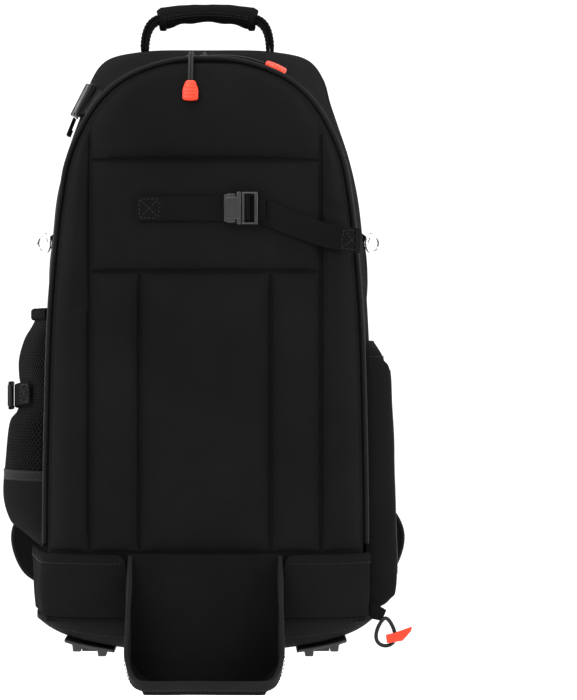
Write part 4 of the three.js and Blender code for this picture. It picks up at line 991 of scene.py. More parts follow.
# Open pouch under the base
def pouch():
    back_y = float(seat_y(0, BOOT_H)) - CLOTH_GAP
    half = POUCH_W / 2
    rim = smooth_table([(0, POUCH_TOP_H), (12, POUCH_TOP_H - 16), (RIM_D - 6, RIM_H + 2),
                        (POUCH_D - LIP_D, POUCH_LIP_H + LIP_RISE + 2), (POUCH_D, POUCH_LIP_H)])
    plan = [(-half, 0.0), (-half, POUCH_D - POUCH_CORNER)]
    for a in np.linspace(0, math.pi / 2, 9)[1:]:
        depth = POUCH_D - POUCH_CORNER + POUCH_CORNER * math.sin(a)
        plan.append((-half + POUCH_CORNER * (1 - math.cos(a)), depth))
    plan = even(plan + [(-x, d) for x, d in plan[::-1]], 150)
    way = unit(np.gradient(plan, axis=0))
    normal = np.stack([-way[:, 1], way[:, 0]], axis=1)
    is_side = np.abs(normal[:, 0])
    top = rim(plan[:, 1])
    count = len(plan)
    side = []
    for share in np.arange(46) / 45:
        h = top + (POUCH_LOW_H + 1 - top) * share
        near = np.clip((h - POUCH_LOW_H) / POUCH_ROUND, 0, 1)
        pull = POUCH_ROUND * POUCH_ROUND_X * 0.8 * (1 - np.sqrt(np.clip(1 - (1 - near) ** 2, 0, 1)))
        pull = pull * is_side + pull * 0.5 * (1 - is_side)
        soft = POUCH_SLACK * waves(plan[:, 0] + plan[:, 1], h * 0.8, 46, 51) * smoothstep(share, 0.05, 0.3)
        out = -pull + soft - POUCH_PULL_IN + POUCH_BELLY * np.sin(np.pi * share) * is_side
        p = plan + normal * out[:, None]
        x = np.clip(p[:, 0], -half + 0.3, half - 0.3)
        side.append(np.column_stack([x, back_y - np.clip(p[:, 1], 0.0, POUCH_D - 0.3), h]))

    def flat(row, h):
        return np.column_stack([np.linspace(row[0, 0], row[-1, 0], count), np.full(count, back_y - 0.4), h])
    last = side[-1]
    floor_rows = [last + (flat(last, last[:, 2]) - last) * share - [0, 0, 0.6 * math.sin(math.pi * share)]
                  for share in np.linspace(0, 1, 12)[1:]]
    back_rows = [flat(row, np.full(count, row[0, 2])) for row in side[::-1][1:]]
    grid = np.array(side + floor_rows + back_rows)
    faces = [[r * count + c, r * count + c + 1, (r + 1) * count + c + 1, (r + 1) * count + c]
             for r in range(len(grid) - 1) for c in range(count - 1)]
    uv = lengths(grid).reshape(-1, 2)
    obj = make("pouch_cloth", grid.reshape(-1, 3), faces, uv, body_cloth, "body_cloth", "pouch")
    thick = obj.modifiers.new("cloth_thickness", "SOLIDIFY")
    thick.thickness = POUCH_T * 0.8 * MM
    thick.offset = 0
    edge = side[0]
    down = unit(side[4] - side[0])
    rim_line = even(edge + down * 3.6, 220)
    sweep("pouch_binding", rim_line, even(down, 220), band(POUCH_BINDING_W, 3.6, 1.2), binding_cloth, "webbing")
    outer = unit(np.column_stack([normal[:, 0], -normal[:, 1], 0 * normal[:, 0]]))
    line = edge + down * 6.6 + outer * 1.95
    stitches("pouch_stitches", [line[2:-2]], [outer[2:-2]])


# Mesh pocket on the left
def pocket_rows(side, rows, front, back, stand, count):
    """Rows of a pocket wall, as places and outward directions."""
    s = 0.5 - 0.5 * np.cos(np.pi * np.linspace(0, 1, count))
    y = -(front + (back - front) * s)
    grid, out = [], []
    for h in rows:
        x = side_x(np.full(count, float(h)), y) + CLOTH_GAP + stand(h, s, y)
        way = unit(np.gradient(np.column_stack([x, y]), axis=0))
        grid.append(np.column_stack([side * x, y, np.full(count, h)]))
        out.append(np.column_stack([side * way[:, 1], -way[:, 0], 0 * x]))
    out = np.array(out)
    return np.array(grid), out * np.sign((out[..., 0] * side).mean())


def mesh_y(s):
    return -(MESH_FRONT + (MESH_BACK - MESH_FRONT) * s)


def mesh_stand(h, s, y, seed=61):
    share = np.clip((h - MESH_FOOT_H) / (MESH_TOP_H - MESH_FOOT_H), 0, 1)
    loose = MESH_LOOSE * waves(y, h + 0 * y, 52, seed) * np.sin(np.pi * s)
    return MESH_PROUD * mesh_section(share) * np.sin(np.pi * s) ** MESH_BULGE + loose


def mesh_pocket():

    def folded(h, s, y):
        return mesh_stand(h, s, y) + 0.9 * waves(y * 1.4, h * 0.5 + 0 * y, 30, 62) * np.sin(np.pi * s)
    rows = np.linspace(MESH_FOOT_H, MESH_SEAM_H, 34)
    grid, out = pocket_rows(-1, rows, MESH_FRONT, MESH_BACK, folded, 90)
    slab("mesh_pocket_foot", grid + out * MESH_T, grid, body_cloth, "body_cloth", "mesh_pocket")
    line, way = grid[-1] + out[-1] * 1.4, out[-1]
    sweep("mesh_pocket_seam", line, (0, 0, 1), band(9, 1.8, 0.8), binding_cloth, "webbing")
    stitches("mesh_pocket_seam_stitches", [line + way * 1.0 + [0, 0, k] for k in (-3, 3)], [way] * 2)
    rows = np.linspace(MESH_SEAM_H - 2, MESH_TOP_H, 60)
    grid, out = pocket_rows(-1, rows, MESH_FRONT, MESH_BACK, mesh_stand, 90)
    slab("mesh_pocket_lining", grid + out * 0.4, grid - out * 0.2, lining_cloth, "mesh")
    cell_w, cell_h, width = 3.7, 4.9, 150.0
    cols = int(width / cell_w)
    levels = int((MESH_TOP_H + 1 - MESH_SEAM_H + 4) / (cell_h / 2))
    points, uv = [], []
    for r in range(levels + 1):
        h = MESH_SEAM_H - 4 + r * (cell_h / 2)
        s = (np.arange(cols + 1) + (0.5 if r % 2 else 0.0)) / (cols + 0.5)
        x = side_x(np.full(len(s), h), mesh_y(s)) + CLOTH_GAP + mesh_stand(h, s, mesh_y(s)) + MESH_T / 2
        points.extend(np.column_stack([-x, mesh_y(s), np.full(len(s), h)]))
        uv.extend(np.column_stack([s * width, np.full(len(s), h)]) * MM)
    n = cols + 1
    faces = [[(r - 1) * n + c + r % 2, r * n + c + 1, (r + 1) * n + c + r % 2, r * n + c]
             for r in range(1, levels) for c in range(cols)]
    net = make("mesh_pocket_net", points, faces, uv, net_cloth, "mesh")
    strands = net.modifiers.new("strands", "WIREFRAME")
    strands.thickness = NET_STRAND * MM
    strands.use_relative_offset = False
    strands.use_even_offset = False
    strands.use_replace = True
    s = np.linspace(0, 1, 60)
    stand = MESH_PROUD * MESH_SECTION[-1][1] * np.sin(np.pi * s) ** MESH_BULGE
    x = side_x(np.full(60, MESH_TOP_H), mesh_y(s)) + CLOTH_GAP + MESH_T / 2 + stand + HEM_OUT
    hem = even(np.column_stack([-x, mesh_y(s), np.full(60, MESH_TOP_H + HEM_R + GAP)]), 121)
    gathers = 1 + 0.10 * np.sin(np.arange(121) * 1.9) + 0.05 * np.sin(np.arange(121) * 0.7)
    section = band(2 * HEM_R + 3, 2 * HEM_R - 0.6, 2.4, 5)[None] * gathers[:, None, None]
    sweep("mesh_pocket_hem_band", hem, (0, 0, 1), section, web_cloth, "webbing", "mesh_pocket_hem")
    rows = np.linspace(MESH_FOOT_H + 4, MESH_TOP_H, 40)
    for word, edge_y, shift in (("front", -MESH_FRONT, -0.6), ("back", -MESH_BACK, 0.6)):
        x = side_x(rows, np.full(40, edge_y)) + CLOTH_GAP + 0.9
        line = np.column_stack([-x, np.full(40, edge_y + shift), rows])
        sweep("mesh_pocket_tape_" + word, line, (0, 1, 0), band(8, 1.8, 0.8), binding_cloth, "webbing")


def side_strap():
    s = np.linspace(0.1, 0.97, 60)
    y = mesh_y(s)
    h = SIDE_STRAP_H - SIDE_STRAP_FALL * s
    edges = [SIDE_STRAP_H - fall + k * SIDE_STRAP_W / 2 for k in (-1, 1) for fall in (0, SIDE_STRAP_FALL)]
    stand = max(MESH_PROUD * float(mesh_section((h - MESH_FOOT_H) / (MESH_TOP_H - MESH_FOOT_H))) for h in edges)
    away = 2.2 * (2 * np.linspace(0, 1, 60) - 1) ** 3
    out = MESH_T + CLOTH_GAP + 2 * GAP + EASE + WEB_T / 2 + 0.5
    x = side_x(h, y) + stand * np.sin(np.pi * s) ** MESH_BULGE + out
    line = np.column_stack([-x, y + away, h])
    webbing("side_strap_web", line, (0, 0, 1), SIDE_STRAP_W, "side_strap", face=-1)
    low, high = (np.array(c) / MM + [0, 0, SIT_H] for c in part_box("side_strap_slider"))
    middle, size = (low + high) / 2, high - low
    parts = [(middle + [0, 0, k * (size[2] - SLIDER_BAR) / 2], AXES, (size[0], size[1], SLIDER_BAR))
             for k in (-1, 1)]
    parts += [(middle + [0, k * (size[1] - SLIDER_BAR) / 2, 0], AXES, (size[0] * 0.8, SLIDER_BAR, size[2]))
              for k in (-1, 0, 1)]
    blocks("side_slider", parts, dark_plastic, "buckle_plastic", "side_strap_slider", bevel=0.9)
    front = middle + [-(size[0] / 2 + 0.2), 0, 0]
    loop = [front + [0, k, 0] for k in np.linspace(-3.6, 3.6, 8)]
    sweep("side_strap_fold", loop, (0, 0, 1), band(SIDE_STRAP_W - 0.6, 1.5, 0.7, 4), web_cloth, "webbing")


# Zipped pocket on the right
def box_stand(h, s, y):
    share = np.clip((h - BOX_LOW_H) / (BOX_TOP_H - BOX_LOW_H), 0, 1)
    square = (1 - np.abs(2 * s - 1) ** 9) ** 0.5
    out = BOX_OUT_X - BOX_T - BOX_LEAN * share
    full = (out - side_x(np.full(np.shape(y), float(h)), y) - CLOTH_GAP) * box_section(share) * square
    lid = BOX_LID_SUNK * np.exp(-((h - (BOX_TOP_H - BOX_SEAM_IN)) / 1.6) ** 2)
    slack = (1.0 * waves(y, h + 0 * y, 60, 71) - 0.4) * np.sin(np.pi * s) ** 0.5 * box_section(share)
    sunk = BOX_ZIP_SUNK * np.exp(-((y + BOX_FRONT - BOX_SEAM_IN) / 3.2) ** 2)
    return full - lid * square + slack - sunk * smoothstep(h, BOX_LOW_H + 14, BOX_LOW_H + 20)


def zip_pocket():
    spans = (np.linspace(0, 0.1, 14)[:-1], np.linspace(0.1, 0.86, 66)[:-1], np.linspace(0.86, 1, 24))
    rows = BOX_LOW_H + (BOX_TOP_H - BOX_LOW_H) * np.concatenate(spans)
    grid, out = pocket_rows(1, rows, BOX_FRONT, BOX_BACK, box_stand, 100)
    hull = grid + out * BOX_T
    slab("side_pocket", hull, grid, body_cloth, "body_cloth", "zip_pocket", padded=0.4)

    def seam(lift):
        path = []
        for row, normal in zip(hull, out):
            k = np.argmin(np.abs(row[5:-5, 1] + BOX_FRONT - BOX_SEAM_IN)) + 5
            path.append(row[k] + normal[k] * lift)
        return np.array(path)[16:-18]
    coil("side_pocket_coil", seam(0.3), 4.6, 1.5, 0.2, dark_plastic)
    sweep("side_pocket_tape", resample(seam(-0.05), 4), (0, 1, 0), band(11, 0.5), binding_cloth, "piping")
    line = hull[6:-14, -10] + out[6:-14, -10] * 0.6
    sweep("side_pocket_piping", resample(line, 3), (0, 1, 0), circle(1.5, 10), piping_cloth, "piping")
    row = int(np.argmin(np.abs(rows - (BOX_TOP_H - BOX_SEAM_IN))))
    rim, normal = hull[row, 4:-4] + out[row, 4:-4] * 0.1, out[row, 4:-4]
    stitches("side_pocket_stitches", [rim + [0, 0, 3.2], rim + [0, 0, -3.2]], [normal] * 2, "body_cloth")


def pocket_pull():
    y = -(BOX_FRONT + BOX_T + CLOTH_GAP)

    def outline(rows):
        return [(BOX_OUT_X + x, BOX_LOW_H + h) for x, h in rows]
    prism("pocket_end_tab", outline(TAB_OUTLINE), y - TAB_T, y, web_cloth, "webbing", "pocket_tab", bevel=0.7)
    middle = np.array([BOX_OUT_X - LOOP_IN, y - LOOP_OUT, BOX_LOW_H - LOOP_FALL])
    a = np.linspace(0, 2 * math.pi, 64, endpoint=False)
    across = LOOP_W / 2 * np.cos(a) * (1 - 0.35 * np.sin(a))
    loop = np.column_stack([across, 0 * a, LOOP_H / 2 * np.sin(a)]) + middle
    sweep("pull_loop", loop, (0, 1, 0), circle(LOOP_R, 12), cord_cloth, "cord", "pocket_pull_loop", loop=True)
    y = middle[1] - LOOP_R - GAP
    prism("pull_tag", outline(TAG_OUTLINE), y - TAG_T, y, orange, "orange_rubber", "pocket_pull_tag", bevel=0.9)
    ribs = []
    way = unit(np.array([14.0, 0, 6.0]))
    side = np.array([-way[2], 0, way[0]])
    for k in range(4):
        spot = np.array([BOX_OUT_X - 7 + 3 * k, y - TAG_T, BOX_LOW_H - 20 + 1.4 * k])
        ribs.append((spot, (way, side, (0, 1, 0)), (1.0, 3.6, 0.7)))
    blocks("pull_tag_ribs", ribs, orange, "orange_rubber", bevel=0.25, segments=2)


# Lash strap and its buckle
def lash_drop(x):
    share = np.clip((x - LASH_BEND_X) / (LASH_RIGHT_X - LASH_BEND_X), 0, 1)
    return LASH_H - LASH_EVEN * share - (LASH_DROOP - LASH_EVEN) * np.sin(share * np.pi / 2)


def lash_line(first, last, count):
    side = FACE_W / 2 - PIPING_MARGIN
    near = (-WEB_W / 2, 0, WEB_W / 2)
    out = []
    for x in np.linspace(first, last, count + 1):
        h = float(lash_drop(x))
        reach = max(float(front_out(np.clip(x + dx, -side, side), h + dh)) for dx in near for dh in near)
        out.append((x, -(reach + GAP + EASE + WEB_T / 2), h))
    return np.array(out)


def lash_strap():
    plug_end = BUCKLE_X + SOCKET_W + GAP + PLUG_W + EASE + GAP
    up = (0, 0, 1)
    left = through(lash_line(LASH_LEFT_X, BUCKLE_X - GAP, 8), 10)
    webbing("lash_left", left, up, WEB_W, "lash_strap_left", ends=(True, False))
    lean = LASH_LEAN * WEB_W / 2
    right = through(lash_line(plug_end + lean, LASH_RIGHT_X, 12), 10)
    lane = webbing("lash_right", right, up, WEB_W, "lash_strap_right", ends=(False, True))
    spots = lane.spot(np.linspace(lane.length - 6.5, lane.length - 0.3, 6), 0, 1.25)
    sweep("lash_hem", spots, up, band(WEB_W + 0.4, 1.2, 0.5), web_cloth, "webbing")
    buckle_y = lash_line(BUCKLE_X, plug_end, 2)[1][1] - BUCKLE_T / 2 + WEB_T / 2
    half = BUCKLE_H / 2

    def block(x0, x1, y0, y1, h0, h1):
        middle = np.array([(x0 + x1) / 2, buckle_y + (y0 + y1) / 2, LASH_H + (h0 + h1) / 2])
        return (middle, AXES, (abs(x1 - x0), abs(y1 - y0), abs(h1 - h0)))
    t = BUCKLE_T / 2
    x0, x1 = BUCKLE_X, BUCKLE_X + SOCKET_W
    blocks("buckle_socket", [
        block(x0 + 1.4, x1, -t, t - 5.4, -half + 4.2, half - 4.2),
        block(x0 + 1.4, x1, t - 2.2, t, -half + 4.2, half - 4.2),
        block(x0 + 2.4, x1 - 4.4, -t + 0.9, t - 0.7, -half + 1.5, half - 1.5),
        block(x1 - 3.6, x1, -t + 0.3, t - 0.3, -half, half),
        block(x0, x0 + 3.2, -t + 1.4, t - 1.6, -half + 2.2, half - 2.2),
    ], gloss_plastic, "buckle_plastic", "lash_buckle_socket", bevel=1.1, segments=4)
    p0, p1 = x1 + GAP, x1 + GAP + PLUG_W
    s = t - PLUG_LESS / 2
    blocks("buckle_plug", [
        block(p0, p1, -s, s - 2.6, half - 1.8, half - 0.2),
        block(p0, p1, -s, s - 2.6, -half + 0.2, -half + 1.8),
        block(p0, p0 + 2.6, -s + 0.4, s - 1.2, -half + 0.6, half - 0.6),
        block(p1 - PLUG_BAR, p1, -s, s - 2.4, -half + 1.0, half - 1.0),
    ], gloss_plastic, "buckle_plastic", "lash_buckle_plug", bevel=0.8, segments=4)
    bar_x = p1 - PLUG_BAR - PLUG_SLOT - 1.8
    wrap = [(bar_x - 1.9 + 0.4 * k, buckle_y - 0.6 - 1.9 * math.sin(k / 9 * math.pi), LASH_H)
            for k in range(10)]
    inside = [(x, buckle_y + 1.2, LASH_H) for x in np.linspace(p0 + 1, plug_end + lean + 1.5, 12)]
    for word, line in (("wrap", wrap), ("inside", inside)):
        sweep("buckle_web_" + word, line, up, band(WEB_W - 0.4, 1.4, 0.6), web_cloth, "webbing")


# Feet
def foot(name, side):
    def low_at(x):
        return BASE_H - BASE_EDGE_T - BASE_DROP * float(base_reached(abs(x) / (BODY_W / 2 - BASE_INSET)))

    def under(x):
        return low_at(x) - GAP - FOOT_T
    near, far = FOOT_X - FOOT_W / 2, FOOT_X + FOOT_W / 2
    outline = [(x, low_at(x) - GAP - 0.15) for x in np.linspace(near, far, 9)] + [(far, under(far))]
    for x, h in ((FOOT_X + RAIL_PITCH / 2, OUTER_RAIL_H), (FOOT_X - RAIL_PITCH / 2, 0)):
        outline += [(x + RAIL_W / 2, under(x + RAIL_W / 2)), (x + RAIL_W / 2 - RAIL_TAPER, h),
                    (x - RAIL_W / 2 + RAIL_TAPER, h), (x - RAIL_W / 2, under(x - RAIL_W / 2))]
    outline = [(side * x, h) for x, h in outline + [(near, under(near))]]
    prism(name + "_moulding", outline, -(FOOT_BACK + FOOT_L), -FOOT_BACK, foot_plastic, "foot_plastic", name,
          bevel=1.0)
    ribs = [((side * FOOT_X, -(FOOT_BACK + 8 + k * (FOOT_L - 16) / 6), under(FOOT_X) - 1.2), AXES,
             (RAIL_PITCH - RAIL_W, 1.8, 3.4)) for k in range(7)]
    blocks(name + "_ribs", ribs, foot_plastic, "foot_plastic", bevel=0.4, segments=2)


# Carrying handle
def handle():
    u = np.linspace(-1, 1, 150)
    h = GRIP_H + GRIP_RISE - GRIP_ARCH * u * u
    path = np.column_stack([u * GRIP_L / 2, np.full(150, HANDLE_Y), h])
    angle = np.linspace(0, 2 * math.pi, 40, endpoint=False)
    under = np.clip(-np.sin(angle), 0, 1)[None, :] ** 2
    finger = 0.9 * np.cos(u * np.pi * 3.5)[:, None] * under * (1 - np.abs(u[:, None]) ** 8)
    folds = 0.35 * waves(u[:, None] * 43, angle[None, :] * 11, 17, 81)
    radius = (GRIP_R - 0.7) * (1 - 0.22 * np.abs(u) ** 18)[:, None] - finger * 0.8 + folds - 0.4
    thin = 1 - GRIP_THIN * (1 - np.abs(u) ** 1.5)
    rings = np.stack([-radius * np.cos(angle) * GRIP_OVAL, radius * np.sin(angle) * thin[:, None]], axis=2)
    sweep("grip_sleeve", path, (0, 1, 0), rings, body_cloth, "webbing", "handle_grip", padded=0.8)
    section = np.stack([np.cos(angle) * (GRIP_R * GRIP_OVAL - 0.2), np.sin(angle) * (GRIP_R - 0.3)], axis=1)
    fade = (1 - 0.25 * np.abs(np.linspace(-1, 1, 12)) ** 6)[:, None, None]
    side_line = path[8:-8] + [0, -(GRIP_R * GRIP_OVAL - 0.35), -1.0]
    for word, side in (("left", -1), ("right", 1)):
        middle = path[2 if side < 0 else -3]
        bind = [middle + [side * -a, 0, 0] for a in np.linspace(-0.5, 6.5, 12)]
        sweep("grip_end_" + word, bind, (0, 1, 0), section[None] * fade * 0.97, body_cloth, "webbing")
    stitches("grip_stitches", [side_line, side_line + [0, 0.25, -2.2]], [(0, -1, 0)] * 2)
    rear = REAR[len(REAR) // 2:][:400]
    low = np.interp(HANDLE_LEG_X, rear[:, 0], rear[:, 1]) + 2 * GAP + EASE
    for word, side in (("left", -1), ("right", 1)):
        a = np.array([side * HANDLE_LEG_X, HANDLE_Y, low - 0.4])
        b = np.array([side * HANDLE_LEG_X, HANDLE_Y, GRIP_H - HANDLE_SHOULDER])
        c = np.array([side * (GRIP_L / 2 - 2), HANDLE_Y, GRIP_H - GRIP_SAG])
        t = np.linspace(0, 1, 60)[:, None]
        lane = Lane(a * (1 - t) ** 2 + 2 * b * t * (1 - t) + c * t * t, (0, 1, 0))
        for layer, lift, width, node in (("outer", -HANDLE_WEB_OUT, HANDLE_W, "handle_leg_" + word),
                                         ("inner", HANDLE_WEB_OUT, HANDLE_W - 1, ())):
            section = band(width, HANDLE_WEB_T, 1.4, 4)
            sweep(f"handle_web_{word}_{layer}", lane.path + lane.up * lift, lane.side, section, web_cloth,
                  "webbing", node)
        at = np.linspace(2, lane.length - 2, 30)
        places = [(k, face) for k in (-1, 1) for face in (-1, 1)]
        rows = [lane.spot(at, k * (HANDLE_W / 2 - 2.4), face * 3.5) for k, face in places]
        stitches(f"handle_stitches_{word}", rows, [lane.mixed(lane.up, at) * face for k, face in places])


# Harness behind the bag
def shoulder_strap(side, word):
    x, h, bow, wide = STRAP_LINE.T
    points = np.column_stack([side * x * BODY_W / 2, BACK_EDGE_T + bow * STRAP_BOW, h * BODY_H])
    lane = Lane(resample(through(points, 24), 3.0), unit(np.array([1, 0, STRAP_TWIST * side])))
    s = lane.at / lane.length
    width = STRAP_W * np.interp(s, np.linspace(0, 1, len(wide)), wide)
    ends = np.sqrt(np.clip(1 - np.abs(2 * s - 1) ** 40, 0.05, 1))
    rings = []
    for w, t in zip(width * (0.9 + 0.1 * ends), (STRAP_T - 1.6) * ends):
        half = band(w - 2, t, t * 0.42, 5)
        crown = 1 - 0.22 * (np.abs(half[:, 0]) / (w / 2)) ** 3
        rings.append(np.column_stack([half[:, 0], half[:, 1] * crown]))
    rings = np.array(rings)
    face = np.sign(np.mean(lane.up[:, 1])) or 1
    sweep(f"strap_pad_{word}", lane.path, lane.side, rings, back_mesh, "back_cloth", f"shoulder_strap_{word}",
          padded=0.7)
    sweep(f"strap_cover_{word}", lane.path + lane.up * face * 0.9, lane.side, rings * np.array([0.985, 0.9]),
          body_cloth, "body_cloth", padded=0.7)
    for k, letter in ((-1, "a"), (1, "b")):
        edge = lane.path + lane.side * (k * (width / 2 - 1.6))[:, None]
        section = band(3.4, STRAP_T * 0.72, 1.6, 4)
        sweep(f"strap_binding_{word}_{letter}", edge, lane.side, section, binding_cloth, "webbing")
    web = lane.path[6:-4] + lane.up[6:-4] * (face * (STRAP_T / 2 + 0.9))
    webbing(f"strap_web_{word}", web, lane.side[6:-4].mean(0), TAIL_W, face=face)
    path, across, up = lane.path[4:-4], lane.side[4:-4], lane.up[4:-4] * face
    rows = [path + across * (k * (width[4:-4] / 2 - 6))[:, None] + up * (STRAP_T / 2 - 0.35) for k in (-1, 1)]
    stitches(f"strap_stitches_{word}", rows, [up] * 2, pitch=4.2, long=2.8)
    end = points[-1]
    tail = through([
        end + [0, -GAP, -2], end + [side, -TAIL_OFF, -TAIL_FALL],
        [side * (BODY_W / 2 - TAIL_IN), TAIL_OFF, WING_LOW_H + WING_H + TAIL_OVER_WING],
    ], 30)
    webbing(f"strap_tail_web_{word}", tail, (1, 0, 0), TAIL_W, f"strap_tail_{word}", face=face)


def ring(side, word):
    middle = np.array([side * (BODY_W / 2 + RING_OUT), BACK_EDGE_T + STRAP_BOW * RING_OFF, RING_AT_H])
    a = np.linspace(0, 2 * math.pi, 72, endpoint=False)
    across = RING_W / 2 * np.cos(a)
    line = middle + np.column_stack([across * math.cos(RING_TURN) * side, across * math.sin(RING_TURN),
                                     RING_H / 2 * np.sin(a)])
    normal = np.array([-math.sin(RING_TURN) * side, math.cos(RING_TURN), 0])
    section = circle(RING_R, 14)
    sweep("ring_" + word, line, normal, section, chrome, "ring_metal", "harness_ring_" + word, loop=True)
    inner = middle - np.array([RING_W / 2 * math.cos(RING_TURN) * side, RING_W / 2 * math.sin(RING_TURN), 0])
    root = np.array([side * (BODY_W / 2 - 30), BACK_EDGE_T + STRAP_BOW * 0.42, RING_AT_H + 14])
    tab = [inner + [side * 1.6, 1.2, 0], inner + [-side * 1.5, 2.4, 1], (inner + root) / 2 + [0, 1, 2], root]
    sweep("ring_tab_" + word, through(tab, 16), (0, 0.3, 1), band(11, 2.6, 1.1, 4), web_cloth, "webbing")


def wing(side, word):
    low_in = smooth_table([(rise, inward) for inward, rise in WING_END])
    v = 0.5 - 0.5 * np.cos(np.pi * np.linspace(0, 1, 44))
    u = 1 - (1 - np.linspace(0, 1, 62)) ** 1.5
    reach = WING_REACH - 0.6 - low_in(v) * WING_H
    x = WING_ROOT_X + (reach - WING_ROOT_X)[:, None] * u[None, :]
    h = np.broadcast_to((WING_LOW_H + WING_H * v)[:, None], x.shape)
    edge = np.minimum(np.minimum(h - WING_LOW_H, WING_LOW_H + WING_H - h), (reach[:, None] - x) * 0.9)
    crown = pillow(edge, 5.0)
    thick = (WING_T - 2.6) * crown
    channels = WING_CHANNEL * np.exp(-((np.abs(h - WING_LOW_H - WING_H / 2) - 20) / 3.0) ** 2) * crown
    face = np.stack([side * x, 1.5 + 0.4 * waves(x, h, 40, 95), h], axis=2)
    back = np.stack([side * x, 2.4 + 0 * x, h], axis=2)
    slab(f"wing_face_{word}", face, back, body_cloth, "back_cloth")
    front = np.stack([side * x, 2.5 + thick - channels, h], axis=2)
    slab(f"wing_{word}", front, back, back_mesh, "back_cloth", f"waist_wing_{word}", padded=0.7)
    rim = np.concatenate([
        np.column_stack([side * x[0, :], 2.6 + 0 * x[0], h[0, :]]),
        np.column_stack([side * x[1:-1, -1], 2.6 + 0 * x[1:-1, -1], h[1:-1, -1]]),
        np.column_stack([side * x[-1, ::-1], 2.6 + 0 * x[-1], h[-1, ::-1]]),
    ])
    rim = resample(rim, 2.5)
    sweep(f"wing_binding_{word}", rim, (0, 1, 0), band(3.6, 3.6, 1.5, 4), binding_cloth, "webbing")


def back_panel():
    rows = np.linspace(BASE_H + GAP, BODY_H - 2, 190)
    half = np.array([float(outline_at(solve_outline(0.0, 1, h), 0.0)[0]) for h in rows])
    u = np.linspace(-1, 1, 111)
    x = half[:, None] * u[None, :]
    h = np.broadcast_to(rows[:, None], x.shape)
    v = 2 * (rows - rows[0]) / (rows[-1] - rows[0]) - 1
    edge = (1 - np.abs(u[None, :]) ** 10) * (1 - np.abs(v[:, None]) ** 14)
    sunk = (BACK_T - BACK_EDGE_T) * (1 - edge)
    channel = BACK_CHANNEL * np.exp(-(x / 9.0) ** 4)
    for seam_h in BACK_SEAMS:
        curve = seam_h + 10 * (np.abs(x) / 120) ** 2
        channel = np.maximum(channel, BACK_SEAM_D * np.exp(-((h - curve) / 6.0) ** 4))
    inset = np.minimum(half[:, None] - np.abs(x), np.minimum(h - rows[0], rows[-1] - h))
    channel = np.maximum(channel, BACK_RIM_D * np.exp(-((inset - 24) / 3.5) ** 2))
    y = -(sunk + channel * smoothstep(inset, 8, 22)) - 0.35 * (1 + waves(x, h, 60, 91))
    slab("back_padding", np.stack([x, y, h], axis=2), np.stack([x, np.full(x.shape, -BACK_T), h], axis=2),
         back_mesh, "back_cloth", "back_panel", padded=0.7)
    line = []
    for t in np.linspace(0.004, 0.996, 420):
        ox, oh = outline_at(np.array(t), 0.0)
        line.append((float(ox), -(BACK_T - 0.4), max(float(oh), BASE_H + 1)))
    way = unit(np.gradient(np.array(line), axis=0))
    seam = np.array(line) + np.column_stack([-way[:, 2], 0 * way[:, 0], way[:, 0]]) * 0.4
    sweep("back_binding", resample(seam, 3), (0, 1, 0), band(6.0, 2.6, 1.1, 4), binding_cloth, "piping")


# Compression strap over the upper left wall
def upper_strap():
    t = 1 - float(solve_outline(0.0, 1, SIDE_BUCKLE_H))

    def spot(d, out, at=None):
        at = t if at is None else at
        share = d ** FACE_POWER
        p, a, b = (np.array(outline_at(np.array(k), share)) for k in (at, at + 0.01, at - 0.01))
        way = unit(a - b)
        y = WALL_BACK + (-GUSSET_D - WALL_BACK) * d
        return np.array([p[0] - way[1] * out, y, p[1] + way[0] * out]), np.array([way[0], 0, way[1]])
    seat = CLOTH_GAP + EASE + GAP + WEB_T / 2
    for name, first, last, ends in (("upper_strap_back", 0.06, 0.49, (True, False)),
                                    ("upper_strap_front", 0.75, 0.97, (False, True))):
        places = [spot(d, seat) for d in np.linspace(first, last, 30)]
        webbing(name + "_web", [p for p, _ in places], np.mean([w for _, w in places], axis=0), TAIL_W, name,
                ends=ends, face=1)
    middle, way = spot(0.62, CLOTH_GAP + BUCKLE_T / 2)
    ahead, _ = spot(0.70, CLOTH_GAP + BUCKLE_T / 2)
    along = unit(ahead - middle)
    up = unit(np.cross(way, along))
    long = float(np.linalg.norm(spot(0.74, 5.7)[0] - spot(0.5, 5.7)[0]))
    dirs = (along, way, up)
    wide = SIDE_BUCKLE_W
    blocks("side_release_buckle", [
        (middle + along * 0.22 * long, dirs, (long * 0.5, wide * 0.74, BUCKLE_T * 0.8)),
        (middle + along * 0.44 * long, dirs, (3.4, wide * 0.9, BUCKLE_T * 0.62)),
        (middle - along * 0.12 * long, dirs, (long * 0.26, wide * 0.5, BUCKLE_T * 0.7)),
        (middle - along * 0.1 * long + way * wide * 0.38, dirs, (long * 0.5, 4.0, BUCKLE_T * 0.66)),
        (middle - along * 0.1 * long - way * wide * 0.38, dirs, (long * 0.5, 4.0, BUCKLE_T * 0.66)),
        (middle - along * 0.30 * long, dirs, (4.2, wide * 0.9, BUCKLE_T * 0.8)),
        (middle - along * 0.46 * long, dirs, (3.2, wide * 0.84, BUCKLE_T * 0.6)),
    ], dark_plastic, "buckle_plastic", "upper_buckle", bevel=1.2, segments=4)
    hang, way = spot(0.66, CLOTH_GAP + BUCKLE_T / 2)
    below = SIDE_BUCKLE_W / 2 + GAP
    tail = [hang - way * s + np.array([UPPER_TAIL_LEAN * (s - below), 0, 0])
            for s in np.linspace(below, below + UPPER_TAIL_L, 14)]
    lane = webbing("upper_tail_web", tail, (0, 1, 0), UPPER_TAIL_W, "upper_strap_tail", ends=(False, False))
    fold = lane.spot(np.linspace(lane.length - 6, lane.length - 0.2, 6), 0, 1.3)
    sweep("upper_tail_hem", fold, (0, 1, 0), band(UPPER_TAIL_W, 1.2, 0.5, 3), web_cloth, "webbing")


